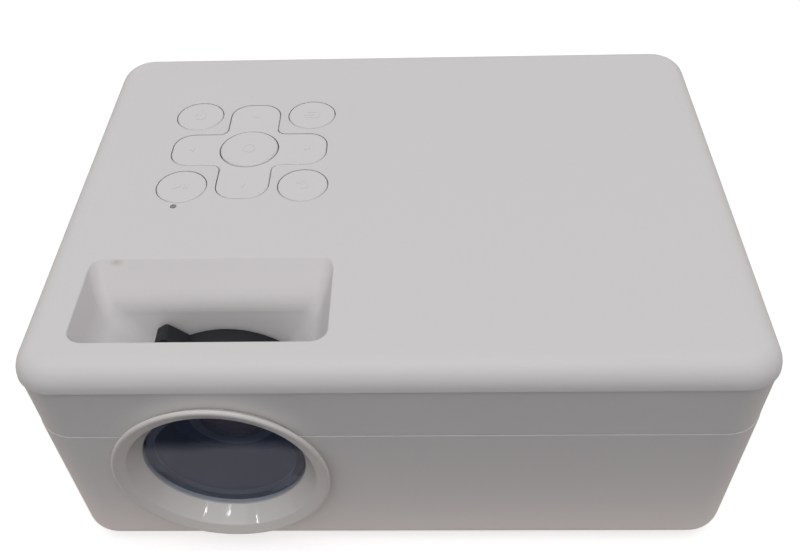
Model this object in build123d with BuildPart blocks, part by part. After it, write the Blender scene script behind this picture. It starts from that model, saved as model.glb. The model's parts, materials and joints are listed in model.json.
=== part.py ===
"""Home-cinema projector with a disc player built in.

A white two-part case stands on four rubber feet.  A lens looks out of the front left
through a glossy bezel, a well in the top gives a finger access to the focus lug, nine
keys lie behind the well, and a disc tray slides out of the right-hand side.

Millimetres.  +X right, +Y back, +Z up, seen from the front.  The origin is the middle
of the footprint (bezel rim included) on the surface that the projector stands on.
"""
import os

from build123d import *

# ------------------------------------------------------------------ case
WIDTH = 240.0
DEPTH = 184.0
CASE_HEIGHT = 95.0
FOOT_HEIGHT = 3.0
WALL = 2.4
CORNER_R = 14.0
TOP_EDGE_R = 9.1
BOTTOM_EDGE_R = 6.5
CREASE_DROP = 8.4  # the rounded top edge ends in a fine step this far below the top
PART_HEIGHT = 64.2  # height of the joint between the covers above the case bottom
TOP_WALL_INSET = 0.6  # upper wall set back from the widest outline
LOWER_WALL_INSET = 0.35
JOINT_GAP = 0.3
LIP_HEIGHT = 2.0
LIP_THICK = 1.0
FIT = 0.3  # clearance between moulded pieces

BEZEL_STAND = 4.7  # how far the lens bezel stands out of the front
FRONT = -(DEPTH - BEZEL_STAND) / 2
BACK = FRONT + DEPTH
MID_Y = (FRONT + BACK) / 2
BASE = FOOT_HEIGHT
TOP = BASE + CASE_HEIGHT
FLOOR = BASE + WALL  # inside face of the case bottom
CEILING = TOP - WALL  # inside face of the case top
CREASE_Z = TOP - CREASE_DROP
PART_Z = BASE + PART_HEIGHT
SIDE_OUT = WIDTH / 2 - LOWER_WALL_INSET  # outside face of the lower side walls
SIDE_IN = SIDE_OUT - WALL
REAR_OUT = BACK - LOWER_WALL_INSET
REAR_IN = REAR_OUT - WALL

BOSS_R = 4.0
BOSS_EDGE = 9.7  # boss centre to the case outline
SCREW_R = 1.5
SCREW_HEAD_R = 2.8
SCREW_HEAD_H = 2.0
SCREW_SEAT_Z = 50.0
SCREW_LENGTH = 26.0
BOSSES = [
    (side * (WIDTH / 2 - BOSS_EDGE), y)
    for side in (-1, 1)
    for y in (FRONT + BOSS_EDGE, BACK - BOSS_EDGE)
]

# ------------------------------------------------------------------ lens and focus
LENS_X = -59.4
LENS_Z = BASE + 45.8
BARREL_R = 25.9
CELL_R = BARREL_R + 1.5  # the head of the lens cell, behind the bezel
CELL_FRONT = 4.0  # behind the front of the case
CELL_LENGTH = 42.0
TUBE_BORE_R = BARREL_R + 0.2
TUBE_R = TUBE_BORE_R + 1.6
TUBE_FRONT = 15.4
TUBE_BACK = 52.0
RING_BORE_R = TUBE_R + 0.15
RING_R = RING_BORE_R + 1.75
RING_FRONT = 16.8
RING_BACK = 37.5
RING_RUNNING_GAP = 1.2
THROAT_R = CELL_R + FIT
THROAT_DEPTH = 3.6
COLLAR_R = THROAT_R + 4.7
COLLAR_DEPTH = 8.0
MOUTH_R, MOUTH_STAND = THROAT_R + 4.2, 2.6  # inner edge of the dished face
MOUTH_EDGE_R = 1.0
BEZEL_BASE_R = COLLAR_R + 0.8  # the bezel is narrower where it meets the case
BEZEL_R = MOUTH_R + 4.7
BEZEL_SIDE = 1.8  # straight part of the bezel's outer side
BEZEL_RIM_R = 1.1
LUG_TIP_R = RING_R + 8.2
LUG_WIDTH = 10.0
LUG_TIP_WIDTH = 5.0
LUG_LENGTH = 7.0
LUG_ANGLE = 34.0  # degrees to the left of upright, as it rests

# ------------------------------------------------------------------ focus well
WELL_LEFT, WELL_RIGHT = -103.3, -20.8  # at the top
WELL_FLOOR_LEFT, WELL_FLOOR_RIGHT = -88.0, -34.0
WELL_FRONT = FRONT + 14.2
WELL_SLOPE_END, WELL_SLOPE_DROP = FRONT + 52.5, 7.95  # the back slopes down to an upright wall
WELL_BACK = FRONT + RING_BACK + RING_RUNNING_GAP + 0.2
WELL_BROW_R = 7.8  # between that slope and the upright wall
WELL_CORNER_R = 5.0
WELL_FLOOR_Z = PART_Z + 2.2
WELL_WALL = 2.0

# ------------------------------------------------------------------ keys
KEYS_X, KEYS_Y = -57.1, FRONT + 113.3
KEY_PITCH = 22.3
KEY_R = 9.1
KEY_GAP = 0.32
KEY_PROUD = 0.1
KEY_FLANGE = 1.0
OK_R = 10.95
OK_GAP = 0.42
PAD_REACH = 29.5
PAD_HALF = 9.65
PAD_END_R = 7.5
PAD_INNER_R = 3.5
PAD_STEM_R = 21.5
KEY_TRAVEL = 0.8
SWITCH_TOP = CEILING - 3.6
BOARD_TOP = SWITCH_TOP - 4.4
BOARD_THICK = 1.6
KEY_FRAME_X, KEY_FRAME_Y = 76.0, 72.0
LIGHT_DX, LIGHT_DY = -23.3, -(KEY_PITCH + KEY_R + 2.2)
LIGHT_R = 1.0

# ------------------------------------------------------------------ disc drive
DRIVE_Z = 34.0
DRIVE_HEIGHT = 13.6
DRIVE_WIDTH = 130.0
DRIVE_Y = 8.0
DRIVE_BACK_X = -10.5
DRIVE_FRONT_X = SIDE_IN - 0.7
SHEET = 0.8
TRAY_Z = DRIVE_Z + 5.4
TRAY_THICK = 5.0
DISC_R = 60.5
DISC_X = DRIVE_FRONT_X - DISC_R - 1.5
RAIL_GAP = 0.3
PANEL_HEIGHT = 14.0
PANEL_GAP = 0.4
SPINDLE_R = 7.4
SEAT_R = 14.5
SLED_LENGTH = 10.0
SLED_REST_R = 23.6
ROD_R = 1.5
ROD_SPREAD = 15.5
SCREW_SPREAD = 22.0

# ------------------------------------------------------------------ light engine
ENGINE_HALF_X = 46.0
ENGINE_HALF_Z = 33.0
ENGINE_FRONT = FRONT + 50.0
ENGINE_BACK = FRONT + 132.0
ENGINE_WALL = 1.8
ENGINE_X = (LENS_X - ENGINE_HALF_X, LENS_X + ENGINE_HALF_X)
ENGINE_Z = (LENS_Z - ENGINE_HALF_Z, LENS_Z + ENGINE_HALF_Z)
PLATES = [  # name, distance behind the case front, thickness
    ("fresnel_lens_front", 104.0, 1.8),
    ("lcd_panel", 111.0, 3.0),
    ("fresnel_lens_rear", 118.5, 1.8),
    ("heat_glass", 125.0, 2.0),
]
FUNNEL_OPEN, FUNNEL_NARROW, FUNNEL_WALL = 36.0, 14.0, 1.2
LED_Y = FRONT + 152.0
LED_BOARD_THICK = 2.0
LED_BOARD_HALF = 22.0
SINK_GAP = 0.35
SINK_HALF = 25.0
SINK_FINS = 12
FIN_THICK = 1.2

# ------------------------------------------------------------------ fan
FAN_SIZE = 50.0
FAN_THICK = 14.0
FAN_Z = 39.5
FAN_DUCT_R = 23.6
FAN_BLADE_R = 22.7
FAN_HUB_R = 11.0
FAN_BLADES = 7
FAN_Y1 = REAR_IN - FIT
FAN_Y0 = FAN_Y1 - FAN_THICK

# ------------------------------------------------------------------ boards and sockets
BOARD = 1.6
MAIN_Z = 54.0
MAIN_X = (-6.0, 104.0)
MAIN_Y = (-36.0, REAR_IN - 2.0)
SOCKET_FACE = REAR_OUT - 0.8
HDMI_X = (12.0, 34.0)
HDMI_W, HDMI_H, SOCKET_DEPTH = 15.0, 5.8, 12.0
USB_X, USB_W, USB_H = 54.0, 14.0, 6.6
JACKS_X = (72.0, 84.0, 96.0)
JACK_R, JACK_BORE_R, JACK_BODY = 3.0, 1.8, 7.0
INLET_X, INLET_Z = 66.0, 20.0
INLET_W, INLET_H, INLET_DEPTH = 21.0, 14.0, 22.0
INLET_FLANGE = 1.6
SUPPLY_Z = 9.0
SUPPLY_X, SUPPLY_Y = (12.0, 98.0), (-44.0, 58.0)
WINDOW_X, WINDOW_Z, WINDOW_R = -12.0, 58.0, 3.6

# ------------------------------------------------------------------ speakers and vents
SPEAKER_Y, SPEAKER_Z = FRONT + 48.0, FLOOR + 15.6
SPEAKER_R, SPEAKER_DEPTH = 12.5, 8.0
GRILLE_HOLE_R, GRILLE_PITCH = 0.9, 3.6
VENT_Y, VENT_Z = FRONT + 120.0, BASE + 30.0
VENT_SLOTS, VENT_PITCH, VENT_WIDTH, VENT_HEIGHT = 11, 4.4, 2.0, 26.0

# ------------------------------------------------------------------ screws inside
INNER_R, INNER_HEAD_R, INNER_HEAD_H, INNER_LENGTH = 1.5, 2.7, 1.5, 7.0
POST_R = 3.6

# ------------------------------------------------------------------ feet
FOOT_R = 7.0
FOOT_SINK = 1.0
FEET_X = 92.0
FEET_FRONT, FEET_BACK = FRONT + 24.0, BACK - 20.0
TILT_Y = FRONT + 22.0
TILT_KNOB_R = 10.5
TILT_POCKET_R = 12.0
TILT_POCKET_H = 6.2
TILT_STEM_R = 3.0
TILT_TRAVEL = 14.0
TILT_SOLE_GAP = 0.4  # the stowed foot stays this far off the table
NUT_R, NUT_HEIGHT = 5.5, 8.0
INSERT_Y = 8.0
INSERT_R = 5.0
INSERT_BORE_R = 2.55
INSERT_DEPTH = 10.0

os.makedirs("parts", exist_ok=True)


def save(piece, name):
    """Labels a finished piece and writes it."""
    piece.part.label = name
    export_step(piece.part, f"parts/{name}.step")


def level(z):
    """A horizontal plane at height z, centred on the case."""
    return Plane.XY.offset(z)


def facing_front(x, y, z):
    """A plane whose sketches look to the front: its x is +X and its y is +Z."""
    return Plane(origin=(x, y, z), x_dir=(1, 0, 0), z_dir=(0, -1, 0))


def facing_right(x, y, z):
    """A plane whose sketches look to the right: its x is +Y and its y is +Z."""
    return Plane(origin=(x, y, z), x_dir=(0, 1, 0), z_dir=(1, 0, 0))


def lens_profile(depth=0.0):
    """The half plane above the lens axis: its x is the depth behind the case front and
    its y the radius."""
    return Plane(origin=(LENS_X, FRONT + depth, LENS_Z), x_dir=(0, 1, 0), z_dir=(1, 0, 0))


LENS_AXIS = Axis((LENS_X, FRONT, LENS_Z), (0, 1, 0))


def outline(inset):
    """The case outline in plan, set in by inset."""
    with Locations((0, MID_Y)):
        RectangleRounded(WIDTH - 2 * inset, DEPTH - 2 * inset, CORNER_R - inset)


def span(low, high):
    """Centre and length of a stretch."""
    return (low + high) / 2, high - low


def block(x, y, z, mode=Mode.ADD):
    """A box given by its low and high x, y and z."""
    (cx, lx), (cy, ly), (cz, lz) = span(*x), span(*y), span(*z)
    with Locations((cx, cy, cz)):
        Box(lx, ly, lz, mode=mode)


def post(x, y, low, high, radius, mode=Mode.ADD):
    """An upright round post."""
    with Locations((x, y, (low + high) / 2)):
        Cylinder(radius, high - low, mode=mode)


def lens_drum(front, back, radius, mode=Mode.ADD):
    """A drum on the lens axis between two depths behind the case front."""
    with BuildSketch(facing_front(LENS_X, FRONT + front, LENS_Z)) as disc:
        Circle(radius)
    extrude(disc.sketch, amount=-(back - front), mode=mode)


# ================================================================== shared forms
with BuildSketch(Plane.XY) as pad_plan:  # the four-way pad, about its own middle
    RectangleRounded(2 * PAD_REACH, 2 * PAD_HALF, PAD_END_R)
    RectangleRounded(2 * PAD_HALF, 2 * PAD_REACH, PAD_END_R)
    fillet(pad_plan.vertices().sort_by_distance((0, 0, 0))[:4], PAD_INNER_R)

with BuildSketch(Plane.XY) as pad_hole_plan:
    add(pad_plan.sketch)
    offset(amount=KEY_GAP, kind=Kind.ARC)

KEY_PLACES = {
    "power_key": (-KEY_PITCH, KEY_PITCH),
    "source_key": (KEY_PITCH, KEY_PITCH),
    "play_key": (-KEY_PITCH, -KEY_PITCH),
    "menu_key": (KEY_PITCH, -KEY_PITCH),
}
PAD_SWITCHES = [(KEY_PITCH, 0), (-KEY_PITCH, 0), (0, KEY_PITCH), (0, -KEY_PITCH)]
ENGINE_POSTS = [
    (x, y)
    for x in (ENGINE_X[0] + 8.0, ENGINE_X[1] - 8.0)
    for y in (ENGINE_FRONT + 8.0, ENGINE_BACK - 36.0)
]
DRIVE_POSTS = [
    (x, y)
    for x in (DRIVE_BACK_X + 10.0, DRIVE_FRONT_X - 12.0)
    for y in (DRIVE_Y - 58.0, DRIVE_Y + 58.0)
]
MAIN_POSTS = [(x, MAIN_Y[1] - 12.5) for x in (MAIN_X[0] + 8.0, MAIN_X[1] - 8.0)]
KEY_HANGERS = [
    (KEYS_X + dx * (KEY_FRAME_X / 2 - 4), KEYS_Y + dy * (KEY_FRAME_Y / 2 - 4))
    for dx in (-1, 1)
    for dy in (-1, 1)
]
MAIN_HANGERS = [(x, MAIN_Y[0] + 6.0) for x in (MAIN_X[0] + 8.0, MAIN_X[1] - 8.0)]
SUPPLY_POSTS = [(x, y) for x in (SUPPLY_X[0] + 5, SUPPLY_X[1] - 5) for y in (SUPPLY_Y[0] + 5, SUPPLY_Y[1] - 5)]


def key_plane(z):
    """A horizontal plane at height z with its origin in the middle of the keys."""
    return Plane.XY.offset(z).move(Location((KEYS_X, KEYS_Y, 0)))


def well_form(grow):
    """The focus well, larger by grow all round: its outline seen from the side crossed with
    its outline seen from the front."""
    with BuildSketch(facing_right(WELL_LEFT - 2 * WELL_WALL, 0, 0)) as from_side:
        with BuildLine():
            Polyline(
                (WELL_FRONT, TOP),
                (WELL_FRONT, WELL_FLOOR_Z),
                (WELL_BACK, WELL_FLOOR_Z),
                (WELL_BACK, TOP - WELL_SLOPE_DROP),
                (WELL_SLOPE_END, TOP),
                close=True,
            )
        make_face()
        brow = from_side.vertices().sort_by_distance((WELL_BACK, TOP - WELL_SLOPE_DROP, 0))[0]
        fillet(brow, WELL_BROW_R)
        if grow:
            offset(amount=grow, kind=Kind.INTERSECTION)
    with BuildSketch(facing_front(0, WELL_SLOPE_END + 2 * WELL_WALL, 0)) as from_front:
        with BuildLine():
            Polyline(
                (WELL_LEFT, TOP),
                (WELL_FLOOR_LEFT, WELL_FLOOR_Z - grow),
                (WELL_FLOOR_RIGHT, WELL_FLOOR_Z - grow),
                (WELL_RIGHT, TOP),
                close=True,
            )
        make_face()
        if grow:
            offset(amount=grow, kind=Kind.INTERSECTION)
    extrude(from_side.sketch, amount=WELL_RIGHT - WELL_LEFT + 4 * WELL_WALL)
    extrude(from_front.sketch, amount=WELL_SLOPE_END - WELL_FRONT + 4 * WELL_WALL, mode=Mode.INTERSECT)


def round_well(form, radius):
    """Rounds the upright and sloping edges of a well form."""
    level_edges = form.edges().filter_by(Axis.X) + form.edges().filter_by(Axis.Y)
    fillet([edge for edge in form.edges() if edge not in level_edges], radius)


# ================================================================== case
with BuildPart() as cover_space:  # the hollow of the top cover
    with BuildSketch(level(PART_Z)):
        outline(TOP_WALL_INSET + WALL)
    extrude(amount=CEILING - PART_Z)
    fillet(cover_space.faces().sort_by(Axis.Z)[-1].edges(), TOP_EDGE_R - WALL - TOP_WALL_INSET)

with BuildPart() as well:
    well_form(0)
    round_well(well, WELL_CORNER_R)

with BuildPart() as well_wall:
    well_form(WELL_WALL)
    round_well(well_wall, WELL_CORNER_R + WELL_WALL)
    split(bisect_by=level(CEILING + WALL / 2), keep=Keep.BOTTOM)

with BuildPart() as cover_form:  # the outside of the top cover
    with BuildSketch(level(PART_Z)):
        outline(0)
    extrude(amount=TOP - PART_Z)
    fillet(cover_form.faces().sort_by(Axis.Z)[-1].edges(), TOP_EDGE_R)
    with BuildSketch(level(PART_Z)):  # the fine step under the rounded edge
        outline(-1)
        with Locations((0, MID_Y)):
            RectangleRounded(
                WIDTH - 2 * TOP_WALL_INSET,
                DEPTH - 2 * TOP_WALL_INSET,
                CORNER_R - TOP_WALL_INSET,
                mode=Mode.SUBTRACT,
            )
    extrude(amount=CREASE_Z - PART_Z, mode=Mode.SUBTRACT)

with BuildPart() as cover_bosses:  # the screw bosses, trimmed to the rounded corners
    for x, y in BOSSES:
        post(x, y, PART_Z, CEILING, BOSS_R)
    add(cover_form.part, mode=Mode.INTERSECT)

with BuildPart() as top_cover:
    add(cover_form.part)
    add(cover_space.part, mode=Mode.SUBTRACT)
    add(well_wall.part)
    add(well.part, mode=Mode.SUBTRACT)
    lens_drum(-1, COLLAR_DEPTH + 1, COLLAR_R + FIT, mode=Mode.SUBTRACT)
    lens_drum(COLLAR_DEPTH, RING_BACK + RING_RUNNING_GAP, RING_R + RING_RUNNING_GAP, mode=Mode.SUBTRACT)
    lens_drum(RING_BACK, ENGINE_FRONT - FRONT, TUBE_R + 2 * FIT, mode=Mode.SUBTRACT)
    add(cover_bosses.part)
    for x, y in BOSSES:
        post(x, y, PART_Z, SCREW_SEAT_Z + SCREW_LENGTH + 1, SCREW_R + 0.05, Mode.SUBTRACT)
    for x, y in MAIN_HANGERS:
        post(x, y, MAIN_Z + BOARD, CEILING, POST_R)
    for x, y in KEY_HANGERS:
        post(x, y, BOARD_TOP, CEILING, POST_R - 1.0)
    with BuildSketch(key_plane(CEILING)):
        add(pad_hole_plan.sketch)
        with Locations(*KEY_PLACES.values()):
            Circle(KEY_R + KEY_GAP)
        with Locations((LIGHT_DX, LIGHT_DY)):
            Circle(LIGHT_R + 0.15)
    extrude(amount=WALL, mode=Mode.SUBTRACT)
    rim = top_cover.edges().filter_by_position(Axis.Z, TOP - 0.01, TOP + 0.01)
    rim = rim.filter_by_position(Axis.Y, WELL_FRONT - 1, WELL_SLOPE_END + 1)
    fillet(rim, 0.6)
save(top_cover, "top_cover")

with BuildPart() as bottom_case:
    with BuildSketch(level(BASE)):
        outline(LOWER_WALL_INSET)
    extrude(amount=PART_HEIGHT - JOINT_GAP)
    fillet(bottom_case.faces().sort_by(Axis.Z)[0].edges(), BOTTOM_EDGE_R)
    with BuildSketch(level(PART_Z - 1.5)):  # the lip that lines up the two covers
        outline(LOWER_WALL_INSET + WALL)
    extrude(amount=1.5 - JOINT_GAP)
    with BuildSketch(level(PART_Z - 1.5)):
        outline(TOP_WALL_INSET + WALL + FIT)
    extrude(amount=1.5 + LIP_HEIGHT)
    with BuildSketch(level(PART_Z + LIP_HEIGHT)):
        outline(TOP_WALL_INSET + WALL + FIT + LIP_THICK)
    extrude(amount=-(LIP_HEIGHT + 1.5), mode=Mode.SUBTRACT)
    with BuildSketch(level(FLOOR)):
        outline(LOWER_WALL_INSET + WALL + 3.0)
    extrude(amount=3.0, mode=Mode.SUBTRACT)
    with BuildSketch(level(FLOOR + 3.0)):
        outline(LOWER_WALL_INSET + WALL)
    extrude(amount=PART_HEIGHT - WALL - 4.5, mode=Mode.SUBTRACT)
    for x, y in BOSSES:
        post(x, y, PART_Z - JOINT_GAP, PART_Z + LIP_HEIGHT, BOSS_R + FIT, Mode.SUBTRACT)
    posts = (
        [(x, y, PART_Z - JOINT_GAP, BOSS_R) for x, y in BOSSES]
        + [(x, y, ENGINE_Z[0], POST_R) for x, y in ENGINE_POSTS]
        + [(x, y, DRIVE_Z, POST_R) for x, y in DRIVE_POSTS]
        + [(x, y, MAIN_Z, POST_R) for x, y in MAIN_POSTS]
        + [(x, y, SUPPLY_Z, POST_R) for x, y in SUPPLY_POSTS]
        + [(0, TILT_Y, BASE + TILT_POCKET_H + WALL + NUT_HEIGHT, TILT_POCKET_R + WALL)]
        + [(0, INSERT_Y, BASE + INSERT_DEPTH + WALL, INSERT_R + WALL)]
    )
    for x, y, height, radius in posts:
        post(x, y, FLOOR - WALL / 2, height, radius)
    for x, y in BOSSES:
        post(x, y, BASE, SCREW_SEAT_Z, SCREW_HEAD_R + 0.2, Mode.SUBTRACT)
        post(x, y, BASE, PART_Z, SCREW_R + 0.2, Mode.SUBTRACT)
    for x, y, height in (
        [(x, y, ENGINE_Z[0]) for x, y in ENGINE_POSTS]
        + [(x, y, DRIVE_Z) for x, y in DRIVE_POSTS]
        + [(x, y, MAIN_Z) for x, y in MAIN_POSTS]
    ):
        post(x, y, height - INNER_LENGTH, height, INNER_R + 0.05, Mode.SUBTRACT)
    post(0, TILT_Y, BASE, BASE + TILT_POCKET_H, TILT_POCKET_R, Mode.SUBTRACT)
    post(0, TILT_Y, BASE, BASE + TILT_POCKET_H + WALL, TILT_STEM_R + 0.5, Mode.SUBTRACT)
    post(0, TILT_Y, BASE + TILT_POCKET_H + WALL, 40, NUT_R, Mode.SUBTRACT)
    post(0, INSERT_Y, BASE, BASE + INSERT_DEPTH, INSERT_R, Mode.SUBTRACT)
    for x in (-FEET_X, FEET_X):
        for y in (FEET_FRONT, FEET_BACK):
            post(x, y, BASE, BASE + FOOT_SINK, FOOT_R + 0.1, Mode.SUBTRACT)
    lens_drum(-1, COLLAR_DEPTH + 1, COLLAR_R + FIT, mode=Mode.SUBTRACT)
    tray_hole_y = (DRIVE_Y - DRIVE_WIDTH / 2 - 1, DRIVE_Y + DRIVE_WIDTH / 2 + 1)
    tray_hole_z = (DRIVE_Z - PANEL_GAP - 0.2, DRIVE_Z + PANEL_HEIGHT + PANEL_GAP - 0.2)
    block((SIDE_IN - 1, SIDE_OUT + 1), tray_hole_y, tray_hole_z, Mode.SUBTRACT)
    for side in (-1, 1):  # speaker grilles
        with BuildSketch(facing_right(side * SIDE_IN - side, SPEAKER_Y, SPEAKER_Z)):
            Circle(GRILLE_HOLE_R)
            for ring in (1, 2, 3):
                with PolarLocations(ring * GRILLE_PITCH, 6 * ring):
                    Circle(GRILLE_HOLE_R)
        extrude(amount=side * 2 * WALL, mode=Mode.SUBTRACT)
    with BuildSketch(facing_right(-SIDE_IN + 1, VENT_Y, VENT_Z)):  # air inlet slots
        with GridLocations(VENT_PITCH, 1, VENT_SLOTS, 1):
            SlotOverall(VENT_HEIGHT, VENT_WIDTH, rotation=90)
    extrude(amount=-2 * WALL, mode=Mode.SUBTRACT)
    with BuildSketch(facing_front(LENS_X, REAR_OUT + 1, FAN_Z)):  # fan grille
        for radius in (21.0, 16.0, 11.0, 6.0):
            Circle(radius + 1.6)
            Circle(radius - 1.6, mode=Mode.SUBTRACT)
        for angle in (0, 45, 90, 135):
            Rectangle(60, 2.2, rotation=angle, mode=Mode.SUBTRACT)
    extrude(amount=2 * WALL, mode=Mode.SUBTRACT)
    rear = REAR_OUT + 1
    for x in HDMI_X:
        block((x - HDMI_W / 2 - FIT, x + HDMI_W / 2 + FIT), (REAR_IN - 1, rear),
              (MAIN_Z + BOARD - FIT, MAIN_Z + BOARD + HDMI_H + FIT), Mode.SUBTRACT)
    block((USB_X - USB_W / 2 - FIT, USB_X + USB_W / 2 + FIT), (REAR_IN - 1, rear),
          (MAIN_Z + BOARD - FIT, MAIN_Z + BOARD + USB_H + FIT), Mode.SUBTRACT)
    with BuildSketch(facing_front(0, rear, 0)):
        with Locations(*[(x, MAIN_Z + BOARD + JACK_BODY / 2) for x in JACKS_X]):
            Circle(JACK_R + FIT)
        with Locations((WINDOW_X, WINDOW_Z)):
            Circle(WINDOW_R + 0.1)
        with Locations((INLET_X, INLET_Z)):
            Rectangle(INLET_W + 2 * FIT, INLET_H + 2 * FIT)
    extrude(amount=2 * WALL, mode=Mode.SUBTRACT)
save(bottom_case, "bottom_case")

with BuildPart() as case_screws:
    for x, y in BOSSES:
        post(x, y, SCREW_SEAT_Z - SCREW_HEAD_H, SCREW_SEAT_Z, SCREW_HEAD_R)
        post(x, y, SCREW_SEAT_Z, SCREW_SEAT_Z + SCREW_LENGTH, SCREW_R)
        post(x, y, SCREW_SEAT_Z - SCREW_HEAD_H, SCREW_SEAT_Z - SCREW_HEAD_H + 0.9, 1.0, Mode.SUBTRACT)
save(case_screws, "case_screws")

with BuildPart() as machine_screws:
    for x, y, seat in (
        [(x, y, ENGINE_Z[0] + ENGINE_WALL) for x, y in ENGINE_POSTS]
        + [(x, y, DRIVE_Z + SHEET) for x, y in DRIVE_POSTS]
        + [(x, y, MAIN_Z + BOARD) for x, y in MAIN_POSTS]
    ):
        post(x, y, seat, seat + INNER_HEAD_H, INNER_HEAD_R)
        post(x, y, seat - INNER_LENGTH, seat, INNER_R)
        post(x, y, seat + INNER_HEAD_H - 0.8, seat + INNER_HEAD_H, 1.0, Mode.SUBTRACT)
save(machine_screws, "machine_screws")

with BuildPart() as rubber_feet:
    for x in (-FEET_X, FEET_X):
        for y in (FEET_FRONT, FEET_BACK):
            with BuildSketch(level(0)):
                with Locations((x, y)):
                    Circle(FOOT_R - 0.6)
            with BuildSketch(level(BASE)):
                with Locations((x, y)):
                    Circle(FOOT_R)
            loft()
            post(x, y, BASE, BASE + FOOT_SINK, FOOT_R)
save(rubber_feet, "rubber_feet")

with BuildPart() as tilt_nut:
    nut_low = BASE + TILT_POCKET_H + WALL
    post(0, TILT_Y, nut_low, nut_low + NUT_HEIGHT, NUT_R)
    post(0, TILT_Y, nut_low, nut_low + NUT_HEIGHT, TILT_STEM_R + 0.1, Mode.SUBTRACT)
save(tilt_nut, "tilt_nut")

with BuildPart() as tilt_foot:
    with BuildSketch(level(TILT_SOLE_GAP)):
        with Locations((0, TILT_Y)):
            Circle(TILT_KNOB_R)
            with PolarLocations(TILT_KNOB_R + 0.6, 18):
                Circle(1.3, mode=Mode.SUBTRACT)
    extrude(amount=BASE + TILT_POCKET_H - 2 * TILT_SOLE_GAP)
    post(0, TILT_Y, BASE + TILT_POCKET_H - TILT_SOLE_GAP, nut_low + NUT_HEIGHT + TILT_TRAVEL, TILT_STEM_R)
save(tilt_foot, "tilt_foot")

with BuildPart() as tripod_insert:
    post(0, INSERT_Y, BASE, BASE + INSERT_DEPTH, INSERT_R)
    post(0, INSERT_Y, BASE, BASE + INSERT_DEPTH, INSERT_BORE_R, Mode.SUBTRACT)
save(tripod_insert, "tripod_insert")

# ================================================================== lens
with BuildPart() as lens_bezel:
    with BuildSketch(lens_profile()) as bezel_profile:
        with BuildLine():
            Polyline(
                (LOWER_WALL_INSET, BEZEL_BASE_R),
                (BEZEL_SIDE - BEZEL_STAND, BEZEL_R),
                (-BEZEL_STAND, BEZEL_R),
                (-MOUTH_STAND, MOUTH_R),
                (THROAT_DEPTH, THROAT_R),
                (COLLAR_DEPTH, THROAT_R),
                (COLLAR_DEPTH, COLLAR_R),
                (LOWER_WALL_INSET, COLLAR_R),
                close=True,
            )
        make_face()
        fillet(bezel_profile.vertices().sort_by_distance((-BEZEL_STAND, BEZEL_R, 0))[0], BEZEL_RIM_R)
        fillet(bezel_profile.vertices().sort_by_distance((-MOUTH_STAND, MOUTH_R, 0))[0], MOUTH_EDGE_R)
    revolve(axis=LENS_AXIS)
save(lens_bezel, "lens_bezel")

with BuildPart() as lens_mount:
    lens_drum(TUBE_FRONT, TUBE_BACK, TUBE_R)
    flange_y = (ENGINE_FRONT - 2.2, ENGINE_FRONT)
    flange_half = TUBE_R + 5.3
    block((LENS_X - flange_half, LENS_X + flange_half), flange_y, (LENS_Z - flange_half + 2, LENS_Z + flange_half - 2))
    lens_drum(TUBE_FRONT - 1, TUBE_BACK + 1, TUBE_BORE_R, Mode.SUBTRACT)
save(lens_mount, "lens_mount")

GLASS_THICK, RETAINER_THICK, RETAINER_BORE_R = 1.5, 2.0, CELL_R - 3.2
BARREL_FRONT = CELL_FRONT + GLASS_THICK + RETAINER_THICK
BARREL_BORE_R = BARREL_R - 1.6
STOP_FRONT, STOP_BACK = 24.2, 29.5  # the web that holds the small front lens
SMALL_LENS_R = 13.3
SMALL_RING_R, SMALL_RING_BORE_R = 15.9, 12.6
REAR_SEAT = (39.5, 41.0)
SEAT_REACH = 3.0

with BuildPart() as cover_glass:
    lens_drum(CELL_FRONT, CELL_FRONT + GLASS_THICK, CELL_R - 0.1)
save(cover_glass, "cover_glass")

with BuildPart() as lens_retainers:  # the ring behind the glass and the small lens's own ring
    for front, back, outer, bore in (
        (CELL_FRONT + GLASS_THICK, BARREL_FRONT, CELL_R - 0.1, RETAINER_BORE_R),
        (STOP_FRONT - RETAINER_THICK, STOP_FRONT, SMALL_RING_R, SMALL_RING_BORE_R),
    ):
        lens_drum(front, back, outer)
        lens_drum(front, back, bore, Mode.SUBTRACT)
save(lens_retainers, "lens_retainers")

with BuildPart() as lens_barrel:
    lens_drum(BARREL_FRONT, CELL_FRONT + CELL_LENGTH, BARREL_R)
    lens_drum(BARREL_FRONT, BARREL_FRONT + 1.5, CELL_R - 0.1)
    lens_drum(BARREL_FRONT - 1, CELL_FRONT + CELL_LENGTH + 1, BARREL_BORE_R, Mode.SUBTRACT)
    for front, back, bore in (
        (STOP_FRONT, STOP_BACK, SMALL_LENS_R + 0.1),
        (*REAR_SEAT, BARREL_BORE_R - SEAT_REACH),
    ):
        lens_drum(front, back, BARREL_R - 0.5)
        lens_drum(front - 1, back + 1, bore, Mode.SUBTRACT)
save(lens_barrel, "lens_barrel")


def lens(front, edge, sag, radius):
    """A lens with a domed front and a flat back on the lens axis."""
    with BuildSketch(lens_profile()) as section:
        with BuildLine():
            Line((front + sag + edge, 0), (front, 0))
            ThreePointArc((front, 0), (front + sag * 0.27, radius * 0.52), (front + sag, radius))
            Line((front + sag, radius), (front + sag + edge, radius))
            Line((front + sag + edge, radius), (front + sag + edge, 0))
        make_face()
    revolve(section.sketch, axis=LENS_AXIS)


with BuildPart() as front_lens:
    lens(21.9, 4.9, 2.7, SMALL_LENS_R)
save(front_lens, "front_lens")

with BuildPart() as rear_lens:
    lens(31.0, 2.5, 5.9, BARREL_BORE_R - 0.1)
save(rear_lens, "rear_lens")

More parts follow.
